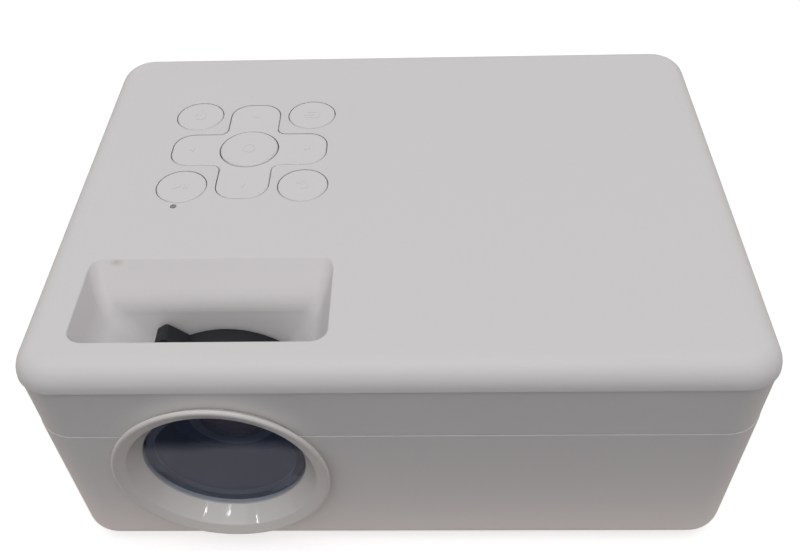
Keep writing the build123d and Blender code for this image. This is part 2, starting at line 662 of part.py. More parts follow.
with BuildPart() as focus_ring:
    lens_drum(RING_FRONT, RING_BACK, RING_R)
    with BuildSketch(facing_front(LENS_X, FRONT + RING_BACK - LUG_LENGTH, LENS_Z)) as lug:
        with BuildLine():
            Polyline(
                (-LUG_WIDTH / 2, RING_R - 1),
                (LUG_WIDTH / 2, RING_R - 1),
                (LUG_TIP_WIDTH / 2, LUG_TIP_R),
                (-LUG_TIP_WIDTH / 2, LUG_TIP_R),
                close=True,
            )
        make_face()
        fillet(lug.vertices().group_by(Axis.Y)[-1], 1.4)
    lug_edges = extrude(amount=-LUG_LENGTH)
    lens_drum(RING_FRONT - 1, RING_BACK + 1, RING_BORE_R, Mode.SUBTRACT)
focus_ring.part = focus_ring.part.rotate(LENS_AXIS, -LUG_ANGLE)
save(focus_ring, "focus_ring")

# ================================================================== keys
KEY_TOP = TOP + KEY_PROUD
KEY_SHOULDER = CEILING - 0.1
STEM_END = SWITCH_TOP + KEY_TRAVEL + 0.1
STEM_R = 2.5
PAD_BOTTOM = CEILING - 1.7
PAD_PLATE_R, PAD_PLATE_GAP = 18.0, 0.9
GIMBAL_IN, GIMBAL_OUT, GIMBAL_THICK, GIMBAL_GAP = 12.9, 17.0, 0.8, 0.5
GIMBAL_TOP = PAD_BOTTOM - GIMBAL_GAP
PIVOT_REACH = 15.0
PIN_REACH, PIN_R = 18.2, 0.36

for name, (dx, dy) in KEY_PLACES.items():
    with BuildPart() as key:
        post(KEYS_X + dx, KEYS_Y + dy, KEY_SHOULDER, KEY_TOP, KEY_R)
        fillet(key.edges().group_by(Axis.Z)[-1], 0.5)
        post(KEYS_X + dx, KEYS_Y + dy, KEY_SHOULDER - KEY_FLANGE, KEY_SHOULDER, KEY_R + KEY_FLANGE)
        post(KEYS_X + dx, KEYS_Y + dy, STEM_END, KEY_SHOULDER - KEY_FLANGE, STEM_R)
    save(key, name)

with BuildPart() as ok_key:
    post(KEYS_X, KEYS_Y, PAD_BOTTOM - GIMBAL_GAP, KEY_TOP + 0.5, OK_R)
    fillet(ok_key.edges().group_by(Axis.Z)[-1], 0.9)
    post(KEYS_X, KEYS_Y, STEM_END, PAD_BOTTOM - GIMBAL_GAP, OK_R + 1.3)
save(ok_key, "ok_key")

with BuildPart() as nav_pad:
    with BuildSketch(key_plane(PAD_BOTTOM)) as pad_sketch:
        add(pad_plan.sketch)
    extrude(amount=KEY_TOP - PAD_BOTTOM)
    fillet(nav_pad.edges().group_by(Axis.Z)[-1], 0.5)
    post(KEYS_X, KEYS_Y, PAD_BOTTOM, CEILING - PAD_PLATE_GAP, PAD_PLATE_R)
    for dx, dy in PAD_SWITCHES:
        post(KEYS_X + dx, KEYS_Y + dy, STEM_END, PAD_BOTTOM, STEM_R)
    post(KEYS_X, KEYS_Y, PAD_BOTTOM - 1, KEY_TOP + 1, OK_R + OK_GAP, Mode.SUBTRACT)
    for side in (-1, 1):  # the two rests that rock on the gimbal
        post(KEYS_X + side * PIVOT_REACH, KEYS_Y, GIMBAL_TOP + 0.3, PAD_BOTTOM, 1.4)
save(nav_pad, "nav_pad")

with BuildPart() as nav_gimbal:
    post(KEYS_X, KEYS_Y, GIMBAL_TOP - GIMBAL_THICK, GIMBAL_TOP, GIMBAL_OUT)
    for plane in (  # the pivots, which stand out of the ring on both axes
        facing_right(KEYS_X - PIN_REACH, KEYS_Y, GIMBAL_TOP - GIMBAL_THICK / 2),
        facing_front(KEYS_X, KEYS_Y + PIN_REACH, GIMBAL_TOP - GIMBAL_THICK / 2),
    ):
        with BuildSketch(plane) as pin:
            Circle(PIN_R)
        extrude(pin.sketch, amount=2 * PIN_REACH)
    post(KEYS_X, KEYS_Y, GIMBAL_TOP - GIMBAL_THICK, GIMBAL_TOP, GIMBAL_IN, Mode.SUBTRACT)
save(nav_gimbal, "nav_gimbal")

with BuildPart() as keypad_board:
    block(
        (KEYS_X - KEY_FRAME_X / 2, KEYS_X + KEY_FRAME_X / 2),
        (KEYS_Y - KEY_FRAME_Y / 2, KEYS_Y + KEY_FRAME_Y / 2),
        (BOARD_TOP - BOARD_THICK, BOARD_TOP),
    )
    for side in (-1, 1):  # the posts that the gimbal rocks on
        post(KEYS_X, KEYS_Y + side * PIVOT_REACH, BOARD_TOP, GIMBAL_TOP - GIMBAL_THICK - 0.3, 1.4)
save(keypad_board, "keypad_board")

with BuildPart() as key_switches:
    for dx, dy in [*KEY_PLACES.values(), *PAD_SWITCHES, (0, 0)]:
        x, y = KEYS_X + dx, KEYS_Y + dy
        block((x - 3, x + 3), (y - 3, y + 3), (BOARD_TOP, SWITCH_TOP - 1.0))
        post(x, y, SWITCH_TOP - 1.0, SWITCH_TOP, 1.7)
save(key_switches, "key_switches")

with BuildPart() as status_light:
    post(KEYS_X + LIGHT_DX, KEYS_Y + LIGHT_DY, BOARD_TOP, TOP - 0.05, LIGHT_R)
save(status_light, "status_light")

# ================================================================== light engine
INNER_X = (ENGINE_X[0] + ENGINE_WALL, ENGINE_X[1] - ENGINE_WALL)
INNER_Y = (ENGINE_FRONT + ENGINE_WALL, ENGINE_BACK - ENGINE_WALL)
ENGINE_FLOOR, LID_Z = ENGINE_Z[0] + ENGINE_WALL, ENGINE_Z[1] - ENGINE_WALL

with BuildPart() as engine_box:
    block(ENGINE_X, (ENGINE_FRONT, ENGINE_BACK), (ENGINE_Z[0], LID_Z))
    block(INNER_X, INNER_Y, (ENGINE_FLOOR, LID_Z), Mode.SUBTRACT)
    lens_drum(ENGINE_FRONT - FRONT, TUBE_BACK, TUBE_R + 0.1, Mode.SUBTRACT)
    block(
        (LENS_X - FUNNEL_OPEN, LENS_X + FUNNEL_OPEN),
        (INNER_Y[1], ENGINE_BACK),
        (LENS_Z - FUNNEL_OPEN * 0.7, LENS_Z + FUNNEL_OPEN * 0.7),
        Mode.SUBTRACT,
    )
    for x, y in ENGINE_POSTS:
        post(x, y, ENGINE_Z[0], ENGINE_FLOOR, INNER_R + 0.1, Mode.SUBTRACT)
save(engine_box, "engine_box")

with BuildPart() as engine_lid:
    block(ENGINE_X, (ENGINE_FRONT, ENGINE_BACK), (LID_Z, ENGINE_Z[1]))
    block(
        (INNER_X[0] + FIT, INNER_X[1] - FIT),
        (INNER_Y[0] + FIT, FRONT + PLATES[0][1] - 2.0),
        (LID_Z - 1.2, LID_Z),
    )
save(engine_lid, "engine_lid")

for name, depth, thick in PLATES:
    with BuildPart() as plate:
        block(
            (INNER_X[0] + FIT, INNER_X[1] - FIT),
            (FRONT + depth, FRONT + depth + thick),
            (ENGINE_FLOOR, LID_Z - FIT),
        )
    save(plate, name)

with BuildPart() as light_funnel:
    walls = []
    for grow in (FUNNEL_WALL, 0):
        ends = []
        for y, half in ((ENGINE_BACK, FUNNEL_OPEN), (LED_Y - FIT, FUNNEL_NARROW)):
            with BuildSketch(facing_front(LENS_X, y, LENS_Z)) as mouth:
                Rectangle(2 * (half + grow), 2 * (half * 0.7 + grow))
            ends.append(mouth.sketch)
        walls.append(ends)
    loft(walls[0])
    loft(walls[1], mode=Mode.SUBTRACT)
save(light_funnel, "light_funnel")

with BuildPart() as led_board:
    led_span = (LENS_X - LED_BOARD_HALF, LENS_X + LED_BOARD_HALF)
    block(led_span, (LED_Y, LED_Y + LED_BOARD_THICK), (LENS_Z - LED_BOARD_HALF, LENS_Z + LED_BOARD_HALF))
save(led_board, "led_board")

with BuildPart() as heat_sink:
    sink_y = (LED_Y + LED_BOARD_THICK, FAN_Y0 - SINK_GAP)
    sink_z = (LENS_Z - SINK_HALF, LENS_Z + SINK_HALF)
    block((LENS_X - SINK_HALF, LENS_X + SINK_HALF), (sink_y[0], sink_y[0] + 3), sink_z)
    for i in range(SINK_FINS):
        x = LENS_X - SINK_HALF + FIN_THICK / 2 + i * (2 * SINK_HALF - FIN_THICK) / (SINK_FINS - 1)
        block((x - FIN_THICK / 2, x + FIN_THICK / 2), sink_y, sink_z)
save(heat_sink, "heat_sink")

# ================================================================== fan
FAN_PLANE = facing_front(LENS_X, FAN_Y1, FAN_Z)

with BuildPart() as rear_fan_frame:
    half = FAN_SIZE / 2
    block((LENS_X - half, LENS_X + half), (FAN_Y0, FAN_Y1), (FAN_Z - half, FAN_Z + half))
    with BuildSketch(FAN_PLANE):
        Circle(FAN_DUCT_R)
        with GridLocations(FAN_SIZE - 8, FAN_SIZE - 8, 2, 2):
            Circle(1.8)
    extrude(amount=FAN_THICK, mode=Mode.SUBTRACT)
    with BuildSketch(FAN_PLANE):
        for angle in (0, 60, 120):
            Rectangle(2 * FAN_DUCT_R + 1, 2.0, rotation=angle)
        Circle(FAN_HUB_R)
        Circle(1.56, mode=Mode.SUBTRACT)
    extrude(amount=1.5)
save(rear_fan_frame, "rear_fan_frame")

with BuildPart(facing_front(LENS_X, (FAN_Y0 + FAN_Y1) / 2, FAN_Z)) as rear_fan_rotor:
    blade_reach = FAN_BLADE_R - FAN_HUB_R + 2
    with PolarLocations(FAN_HUB_R + blade_reach / 2 - 1, FAN_BLADES):
        with Locations(Location((0, 0, 0), (35, 0, 0))):
            Box(blade_reach + 4, 1.3, 9.5)
    with BuildSketch(FAN_PLANE):
        Circle(FAN_BLADE_R)
    extrude(amount=FAN_THICK, mode=Mode.INTERSECT)
    with BuildSketch(FAN_PLANE.offset(2.1)):
        Circle(FAN_HUB_R)
    extrude(amount=FAN_THICK - 3.0)
    with BuildSketch(FAN_PLANE):
        Circle(1.5)
    extrude(amount=3.0)
save(rear_fan_rotor, "rear_fan_rotor")

# ================================================================== boards and sockets
with BuildPart() as main_board:
    block(MAIN_X, MAIN_Y, (MAIN_Z, MAIN_Z + BOARD))
    for x, y in MAIN_POSTS:
        post(x, y, MAIN_Z, MAIN_Z + BOARD, INNER_R + 0.1, Mode.SUBTRACT)
    for x, y, w, d, h in ((30, 10, 27, 27, 2.2), (60, 14, 12, 18, 1.2), (60, 40, 12, 18, 1.2), (88, 26, 16, 16, 5)):
        block((x - w / 2, x + w / 2), (y - d / 2, y + d / 2), (MAIN_Z + BOARD, MAIN_Z + BOARD + h))
save(main_board, "main_board")

with BuildPart() as power_board:
    block(SUPPLY_X, SUPPLY_Y, (SUPPLY_Z, SUPPLY_Z + BOARD))
    for x, y, w, d, h in ((44, -10, 26, 22, 17), (76, -14, 3, 34, 18), (60, 26, 14, 16, 12)):
        block((x - w / 2, x + w / 2), (y - d / 2, y + d / 2), (SUPPLY_Z + BOARD, SUPPLY_Z + BOARD + h))
    for x, y, r, h in ((30, 20, 7, 19), (30, 38, 5, 14), (84, 34, 5, 12)):
        post(x, y, SUPPLY_Z + BOARD, SUPPLY_Z + BOARD + h, r)
save(power_board, "power_board")

SOCKET_Y = (SOCKET_FACE - SOCKET_DEPTH, SOCKET_FACE)

with BuildPart() as hdmi_sockets:
    for x in HDMI_X:
        low, high = MAIN_Z + BOARD, MAIN_Z + BOARD + HDMI_H
        block((x - HDMI_W / 2, x + HDMI_W / 2), SOCKET_Y, (low, high))
        block((x - HDMI_W / 2 + 0.6, x + HDMI_W / 2 - 0.6), (SOCKET_Y[0] + 1, SOCKET_FACE),
              (low + 0.6, high - 0.6), Mode.SUBTRACT)
        block((x - HDMI_W / 2 + 2, x + HDMI_W / 2 - 2), (SOCKET_Y[0] + 1, SOCKET_FACE - 1),
              (low + 2.2, low + 3.6))
save(hdmi_sockets, "hdmi_sockets")

with BuildPart() as usb_socket:
    low, high = MAIN_Z + BOARD, MAIN_Z + BOARD + USB_H
    block((USB_X - USB_W / 2, USB_X + USB_W / 2), SOCKET_Y, (low, high))
    block((USB_X - USB_W / 2 + 0.6, USB_X + USB_W / 2 - 0.6), (SOCKET_Y[0] + 1, SOCKET_FACE),
          (low + 0.6, high - 0.6), Mode.SUBTRACT)
    block((USB_X - USB_W / 2 + 1.2, USB_X + USB_W / 2 - 1.2), (SOCKET_Y[0] + 1, SOCKET_FACE - 1),
          (high - 2.8, high - 0.9))
save(usb_socket, "usb_socket")

with BuildPart() as jack_sockets:
    jack_z = MAIN_Z + BOARD + JACK_BODY / 2
    for x in JACKS_X:
        block((x - JACK_BODY / 2, x + JACK_BODY / 2), (SOCKET_Y[0], REAR_IN - FIT),
              (MAIN_Z + BOARD, MAIN_Z + BOARD + JACK_BODY))
    with BuildSketch(facing_front(0, SOCKET_FACE, jack_z)):
        with Locations(*[(x, 0) for x in JACKS_X]):
            Circle(JACK_R)
    extrude(amount=SOCKET_DEPTH - 2)
    with BuildSketch(facing_front(0, SOCKET_FACE, jack_z)):
        with Locations(*[(x, 0) for x in JACKS_X]):
            Circle(JACK_BORE_R)
    extrude(amount=SOCKET_DEPTH - 1, mode=Mode.SUBTRACT)
save(jack_sockets, "jack_sockets")

with BuildPart() as mains_inlet:
    half_w, half_h = INLET_W / 2, INLET_H / 2
    inlet_y = (SOCKET_FACE - INLET_DEPTH, SOCKET_FACE)
    block((INLET_X - half_w, INLET_X + half_w), inlet_y, (INLET_Z - half_h, INLET_Z + half_h))
    block((INLET_X - half_w - 2.5, INLET_X + half_w + 2.5), (REAR_IN - INLET_FLANGE, REAR_IN),
          (INLET_Z - half_h - 2, INLET_Z + half_h + 2))
    with BuildSketch(facing_front(INLET_X, SOCKET_FACE, INLET_Z)):
        SlotOverall(16.0, 8.6)
    extrude(amount=INLET_DEPTH - 4, mode=Mode.SUBTRACT)
    with BuildSketch(facing_front(INLET_X, SOCKET_FACE - 3, INLET_Z)):
        with Locations((-4.3, 0), (4.3, 0)):
            Circle(1.2)
    extrude(amount=INLET_DEPTH - 7)
save(mains_inlet, "mains_inlet")

with BuildPart() as remote_window:
    with BuildSketch(facing_front(WINDOW_X, REAR_OUT - 0.1, WINDOW_Z)):
        Circle(WINDOW_R)
    extrude(amount=WALL)
    with BuildSketch(facing_front(WINDOW_X, REAR_IN, WINDOW_Z)):
        Circle(WINDOW_R + 1.4)
    extrude(amount=1.4)
save(remote_window, "remote_window")

# ================================================================== speakers
with BuildPart() as speaker_frames:
    for side in (-1, 1):
        mouth_x = side * (SIDE_IN - FIT)
        with BuildSketch(facing_right(mouth_x, SPEAKER_Y, SPEAKER_Z)):
            Circle(SPEAKER_R)
        extrude(amount=-side * SPEAKER_DEPTH)
        with BuildSketch(facing_right(mouth_x, SPEAKER_Y, SPEAKER_Z)):
            Circle(SPEAKER_R - 1.2)
        extrude(amount=-side * (SPEAKER_DEPTH - 2), mode=Mode.SUBTRACT)
save(speaker_frames, "speaker_frames")

with BuildPart() as speaker_cones:
    for side in (-1, 1):
        edge_x = side * (SIDE_IN - FIT - 1.5)
        for radius, mode in ((SPEAKER_R - 1.2, Mode.ADD), (SPEAKER_R - 2.6, Mode.SUBTRACT)):
            with BuildSketch(facing_right(edge_x, SPEAKER_Y, SPEAKER_Z)):
                Circle(radius)
            with BuildSketch(facing_right(edge_x - side * 4.5, SPEAKER_Y, SPEAKER_Z)):
                Circle(radius - 6.5)
            loft(mode=mode)
        with BuildSketch(facing_right(edge_x - side * 4.5, SPEAKER_Y, SPEAKER_Z)):
            Circle(SPEAKER_R - 7.7)
        extrude(amount=side * 1.0)
save(speaker_cones, "speaker_cones")

# ================================================================== disc drive
DRIVE_HALF = DRIVE_WIDTH / 2
DRIVE_IN = DRIVE_HALF - SHEET
DRIVE_TOP = DRIVE_Z + DRIVE_HEIGHT
TRAY_TOP = TRAY_Z + TRAY_THICK
WING_Z = TRAY_Z + 1.8
RAIL_Z = (TRAY_Z - 1.0, WING_Z - RAIL_GAP)
TRAY_REAR = DRIVE_BACK_X + SHEET + 0.9
ROD_Z = TRAY_Z - 2.2
SLED_X = (DISC_X - SLED_REST_R - SLED_LENGTH / 2, DISC_X - SLED_REST_R + SLED_LENGTH / 2)
ROD_X = (DISC_X - 62.6, DISC_X - 16.4)
BRACKET = 1.2
ROD_RUN = 0.05
TABLE_Z = TRAY_Z + 1.6


def both_sides(inner, outer):
    """The two mirrored y stretches of the drive between two distances off its middle."""
    return ((DRIVE_Y - outer, DRIVE_Y - inner), (DRIVE_Y + inner, DRIVE_Y + outer))


def bar(x, dy, z, radius, mode=Mode.ADD):
    """A round bar along X, dy off the middle of the drive."""
    with BuildSketch(facing_right(x[0], DRIVE_Y + dy, z)) as disc:
        Circle(radius)
    extrude(disc.sketch, amount=x[1] - x[0], mode=mode)


with BuildPart() as drive_base:
    base_x = (DRIVE_BACK_X, DRIVE_FRONT_X)
    block(base_x, (DRIVE_Y - DRIVE_HALF, DRIVE_Y + DRIVE_HALF), (DRIVE_Z, DRIVE_TOP - SHEET))
    block((DRIVE_BACK_X + SHEET, DRIVE_FRONT_X), (DRIVE_Y - DRIVE_IN, DRIVE_Y + DRIVE_IN),
          (DRIVE_Z + SHEET, DRIVE_TOP), Mode.SUBTRACT)
    for x, y in DRIVE_POSTS:
        post(x, y, DRIVE_Z, DRIVE_Z + SHEET, INNER_R + 0.1, Mode.SUBTRACT)
save(drive_base, "drive_base")

with BuildPart() as drive_cover:
    block(base_x, (DRIVE_Y - DRIVE_HALF, DRIVE_Y + DRIVE_HALF), (DRIVE_TOP - SHEET, DRIVE_TOP))
save(drive_cover, "drive_cover")

with BuildPart() as drive_rails:
    for y in both_sides(DRIVE_IN - 2.5, DRIVE_IN):
        block((DRIVE_BACK_X + SHEET, DRIVE_FRONT_X), y, RAIL_Z)
save(drive_rails, "drive_rails")

with BuildPart() as tray_slides:
    for y in both_sides(DRIVE_IN - 5.2, DRIVE_IN - 2.5 - RAIL_GAP):
        block((TRAY_REAR, DRIVE_FRONT_X - 14), y, RAIL_Z)
save(tray_slides, "tray_slides")

EJECT_Y, EJECT_Z = DRIVE_Y - 50.0, TRAY_Z + 1.6
EJECT_W, EJECT_H = 9.0, 3.0

with BuildPart() as disc_tray:
    tray_x = (TRAY_REAR, SIDE_IN)
    block(tray_x, (DRIVE_Y - DRIVE_IN + 0.6, DRIVE_Y + DRIVE_IN - 0.6), (WING_Z, TRAY_TOP))
    block(tray_x, (DRIVE_Y - DRIVE_IN + 5.6, DRIVE_Y + DRIVE_IN - 5.6), (TRAY_Z, TRAY_TOP))
    for x in (ROD_X[0], ROD_X[1] - BRACKET):  # the brackets of the guide rods
        block((x, x + BRACKET), (DRIVE_Y - ROD_SPREAD - 2, DRIVE_Y - ROD_SPREAD + 2), (ROD_Z - 2, TRAY_Z))
        block((x, x + BRACKET), (DRIVE_Y + ROD_SPREAD - 2, DRIVE_Y + SCREW_SPREAD + 2), (ROD_Z - 2, TRAY_Z))
    for dy in (-ROD_SPREAD, ROD_SPREAD):
        bar(ROD_X, dy, ROD_Z, ROD_R + 0.02, Mode.SUBTRACT)
    bar(ROD_X, SCREW_SPREAD, ROD_Z, 1.1 + ROD_RUN, Mode.SUBTRACT)
    post(DISC_X, DRIVE_Y, WING_Z + 1.0, TRAY_TOP, DISC_R, Mode.SUBTRACT)
    post(DISC_X, DRIVE_Y, WING_Z + 0.4, TRAY_TOP, 40.5, Mode.SUBTRACT)
    post(DISC_X, DRIVE_Y, TRAY_Z, TRAY_TOP, SEAT_R + 0.8, Mode.SUBTRACT)
    block((DISC_X - 60.0, DISC_X - 10), (DRIVE_Y - 7.5, DRIVE_Y + 7.5), (TRAY_Z, TRAY_TOP), Mode.SUBTRACT)
    block((SIDE_IN - 3.0, SIDE_IN), (EJECT_Y - 6.5, EJECT_Y + 6.5), (EJECT_Z - 3.4, EJECT_Z + 2.9), Mode.SUBTRACT)
save(disc_tray, "disc_tray")

with BuildPart() as tray_panel:
    panel_y = (DRIVE_Y - DRIVE_HALF - 1 + PANEL_GAP, DRIVE_Y + DRIVE_HALF + 1 - PANEL_GAP)
    block((SIDE_IN, SIDE_OUT), panel_y, (DRIVE_Z - 0.2, DRIVE_Z - 0.2 + PANEL_HEIGHT))
    chamfer(tray_panel.faces().sort_by(Axis.X)[-1].edges(), 0.4)
    with BuildSketch(facing_right(SIDE_OUT, EJECT_Y, EJECT_Z)):
        SlotOverall(EJECT_W + 0.5, EJECT_H + 0.5)
    extrude(amount=-WALL, mode=Mode.SUBTRACT)
save(tray_panel, "tray_panel")

with BuildPart() as eject_key:
    with BuildSketch(facing_right(SIDE_IN - 1.3, EJECT_Y, EJECT_Z)):
        SlotOverall(EJECT_W, EJECT_H)
    extrude(amount=WALL + 1.3 + 0.2)
    fillet(eject_key.edges().group_by(Axis.X)[-1], 0.3)
    with BuildSketch(facing_right(SIDE_IN - 1.3, EJECT_Y, EJECT_Z)):
        SlotOverall(EJECT_W + 2, EJECT_H + 2)
    extrude(amount=1.2)
save(eject_key, "eject_key")

with BuildPart() as spindle_motor:
    post(DISC_X, DRIVE_Y, DRIVE_Z + 1.8, TABLE_Z - 0.6, 12.8)
    post(DISC_X, DRIVE_Y, TRAY_Z - 0.8, TRAY_Z, SEAT_R + 1.7)
    post(DISC_X, DRIVE_Y, DRIVE_Z + 1.8, TABLE_Z, 1.2 + ROD_RUN, Mode.SUBTRACT)
save(spindle_motor, "spindle_motor")

with BuildPart() as turntable:
    post(DISC_X, DRIVE_Y, TABLE_Z, TABLE_Z + 1.7, SEAT_R)
    post(DISC_X, DRIVE_Y, TABLE_Z, TABLE_Z + 3.9, SPINDLE_R)
    chamfer(turntable.edges().group_by(Axis.Z)[-1], 0.8)
    post(DISC_X, DRIVE_Y, DRIVE_Z + 2.2, TABLE_Z, 1.2)
    with Locations((DISC_X, DRIVE_Y, TABLE_Z + 2.8)):  # the three balls that grip the disc
        with PolarLocations(SPINDLE_R - 0.7, 3):
            Sphere(0.9)
save(turntable, "turntable")

with BuildPart() as laser_sled:
    block(SLED_X, (DRIVE_Y - 18, DRIVE_Y + SCREW_SPREAD + 2.4), (ROD_Z - 1.9, TRAY_Z - 0.5))
    post(sum(SLED_X) / 2, DRIVE_Y, TRAY_Z - 0.5, TRAY_Z + 2.3, 3.2)
    for dy in (-ROD_SPREAD, ROD_SPREAD):
        bar(SLED_X, dy, ROD_Z, ROD_R + ROD_RUN, Mode.SUBTRACT)
    bar(SLED_X, SCREW_SPREAD, ROD_Z, 1.1 + ROD_RUN, Mode.SUBTRACT)
save(laser_sled, "laser_sled")

with BuildPart() as sled_rods:
    for dy in (-ROD_SPREAD, ROD_SPREAD):
        bar(ROD_X, dy, ROD_Z, ROD_R)
save(sled_rods, "sled_rods")

with BuildPart() as lead_screw:
    bar((ROD_X[0] + 0.2, ROD_X[1] + 3.0), SCREW_SPREAD, ROD_Z, 1.1)
save(lead_screw, "lead_screw")

with BuildPart() as sled_motor:
    bar((ROD_X[1], ROD_X[1] + 12.0), SCREW_SPREAD, ROD_Z, 2.1)
    bar((ROD_X[1], ROD_X[1] + 4.0), SCREW_SPREAD, ROD_Z, 1.1 + ROD_RUN, Mode.SUBTRACT)
save(sled_motor, "sled_motor")

with BuildPart() as drive_board:
    block((20, 96), (DRIVE_Y + 30, DRIVE_Y + 54), (DRIVE_Z + SHEET + 0.4, DRIVE_Z + SHEET + 1.4))
    for x in (36, 62, 84):
        block((x - 6, x + 6), (DRIVE_Y + 36, DRIVE_Y + 48), (DRIVE_Z + SHEET + 1.4, DRIVE_Z + SHEET + 2.6))
save(drive_board, "drive_board")
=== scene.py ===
# %% [markdown]
# # A small projector with a disc player inside
#
# The CAD part arrives as a fixed frame: every piece is already in its place, in metres,
# with +X to the right, +Y to the back and +Z up.  Blender adds what CAD leaves out:
# finishes, the raised marks on the keys, the light and the camera.

import bmesh
import bpy
from functools import partial
from math import cos, isclose, pi, radians, sin
from mathutils import Matrix, Vector
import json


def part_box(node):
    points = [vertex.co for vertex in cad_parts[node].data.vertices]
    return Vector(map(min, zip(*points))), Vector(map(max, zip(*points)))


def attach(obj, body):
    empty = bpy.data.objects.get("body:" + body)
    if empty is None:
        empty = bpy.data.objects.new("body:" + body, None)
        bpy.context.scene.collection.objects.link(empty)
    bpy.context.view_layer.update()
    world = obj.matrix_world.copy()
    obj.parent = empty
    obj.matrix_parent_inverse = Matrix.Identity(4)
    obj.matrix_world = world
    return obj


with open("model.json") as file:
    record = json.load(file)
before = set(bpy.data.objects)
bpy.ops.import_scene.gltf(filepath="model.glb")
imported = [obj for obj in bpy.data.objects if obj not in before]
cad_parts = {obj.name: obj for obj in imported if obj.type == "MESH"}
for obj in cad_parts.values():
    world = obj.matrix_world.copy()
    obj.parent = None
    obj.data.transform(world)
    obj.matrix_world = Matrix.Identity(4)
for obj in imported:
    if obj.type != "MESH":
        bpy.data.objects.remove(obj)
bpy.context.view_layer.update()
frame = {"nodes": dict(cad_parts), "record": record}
MM = 0.001
print("pieces in the frame:", len(frame["nodes"]))

# %% [markdown]
# ## Camera
#
# The photograph was taken by hand from above and in front, a little to the right of the
# middle.  The camera's place came from fitting the edges of the case, the keys and the
# lens rim.  Three angles say how it was held, and the code turns them into the camera's
# axes one after the other: first where it looks, then level, then the roll.  The object
# sat low in the picture, which a vertical shift of the lens repeats, so that upright
# edges converge as they do there.

# %% Place the camera
CAMERA_PLACE = Vector((0.00920, -0.26220, 0.30324))
CAMERA_PITCH, CAMERA_YAW, CAMERA_ROLL = radians(48.355), radians(-2.323), radians(-2.148)
CAMERA_LENS, CAMERA_SENSOR, CAMERA_SHIFT = 40.593, 36.0, 0.09375
CAMERA_NEAREST = 0.01

ahead = Vector((
    sin(CAMERA_YAW) * cos(CAMERA_PITCH),
    cos(CAMERA_YAW) * cos(CAMERA_PITCH),
    -sin(CAMERA_PITCH),
))
level_right = Vector((cos(CAMERA_YAW), -sin(CAMERA_YAW), 0.0))
level_up = level_right.cross(ahead)
right = cos(CAMERA_ROLL) * level_right + sin(CAMERA_ROLL) * level_up
up = cos(CAMERA_ROLL) * level_up - sin(CAMERA_ROLL) * level_right

camera_data = bpy.data.cameras.new("camera")
camera_data.lens = CAMERA_LENS
camera_data.sensor_width = CAMERA_SENSOR
camera_data.shift_y = CAMERA_SHIFT
camera_data.clip_start = CAMERA_NEAREST
camera = bpy.data.objects.new("camera", camera_data)
camera_axes = Matrix((right, up, -ahead)).transposed().to_4x4()
camera.matrix_world = Matrix.Translation(CAMERA_PLACE) @ camera_axes
bpy.context.scene.collection.objects.link(camera)
bpy.context.scene.camera = camera
print("camera looks along", [round(part, 3) for part in ahead])

# %% [markdown]
# ## Helpers for finishes
#
# A finish is a shader with patterns fed into it, and Blender keeps it as a small graph of
# nodes.  Such a graph could be joined by hand, node by node, but nobody could rebuild it
# from a script.  These helpers add a node and feed its sockets with a number, a colour or
# another node's output.  The world has a graph of the same kind, so their owner is a
# material or the world.

# %% Make and feed nodes
def feed(owner, socket, value):
    """Links the socket to another socket, or sets its own value."""
    if isinstance(value, bpy.types.NodeSocket):
        owner.node_tree.links.new(value, socket)
    else:
        socket.default_value = value


def node(owner, kind, sockets, **settings):
    """Adds one shader node, with its settings and its sockets fed."""
    made = owner.node_tree.nodes.new("ShaderNode" + kind)
    for setting, value in settings.items():
        setattr(made, setting, value)
    for socket, value in sockets.items():
        feed(owner, made.inputs[socket], value)
    return made


# %% Arithmetic and blends
def calculate(owner, kind, first, second=0.0):
    """One step of arithmetic on one or two numbers, such as ABSOLUTE or MULTIPLY."""
    return node(owner, "Math", {0: first, 1: second}, operation=kind).outputs["Value"]


def ramp(owner, value, at_zero, at_one):
    """Rises from 0 to 1 between two values, which may stand in either order."""
    return node(owner, "MapRange", {
        "Value": value, "From Min": at_zero, "From Max": at_one}).outputs["Result"]


def two_colours(owner, share, first, second):
    """Blends two colours.  The node's colour sockets share their names with its number
    sockets, so they are reached by their places."""
    blend = node(owner, "Mix", {"Factor": share}, data_type="RGBA")
    feed(owner, blend.inputs[6], first)
    feed(owner, blend.inputs[7], second)
    return blend.outputs[2]


def end_in_two_shaders(owner, share, first, second):
    """Ends the graph in a mix of two shaders, of which the second has that share."""
    mix = node(owner, "MixShader", {"Fac": share, 1: first, 2: second})
    end = next(last for last in owner.node_tree.nodes if last.type.startswith("OUTPUT"))
    feed(owner, end.inputs["Surface"], mix.outputs["Shader"])


# %% Start a material
def shader_of(finish):
    """The shader that a new material has from the start."""
    return finish.node_tree.nodes["Principled BSDF"]


def blank_finish(name, **sockets):
    """A new material whose even values sit on the shader's own sockets."""
    finish = bpy.data.materials.new(name)
    finish.use_nodes = True
    for socket, value in sockets.items():
        shader_of(finish).inputs[socket.replace("_", " ")].default_value = value
    print("finish", name, sockets)
    return finish


def object_place(finish):
    """Where a point lies on the object, in metres."""
    return node(finish, "TexCoord", {}).outputs["Object"]


# %% [markdown]
# ## Patterns that every finish uses
#
# Real plastic and metal is never one flat colour.  Noises give it life: one drifts
# between two close colours, one drifts between two degrees of polish, and a fine one
# roughens the surface.  A picture wrapped round the piece could do the same, but it has
# seams and a fixed sharpness.  The noises read Object coordinates, so the pattern stays
# on the piece when it moves and has its real size.

# %% Mottling, grain and uneven polish
NOISE_LOW, NOISE_HIGH = 0.3, 0.7  # a noise seldom leaves this range


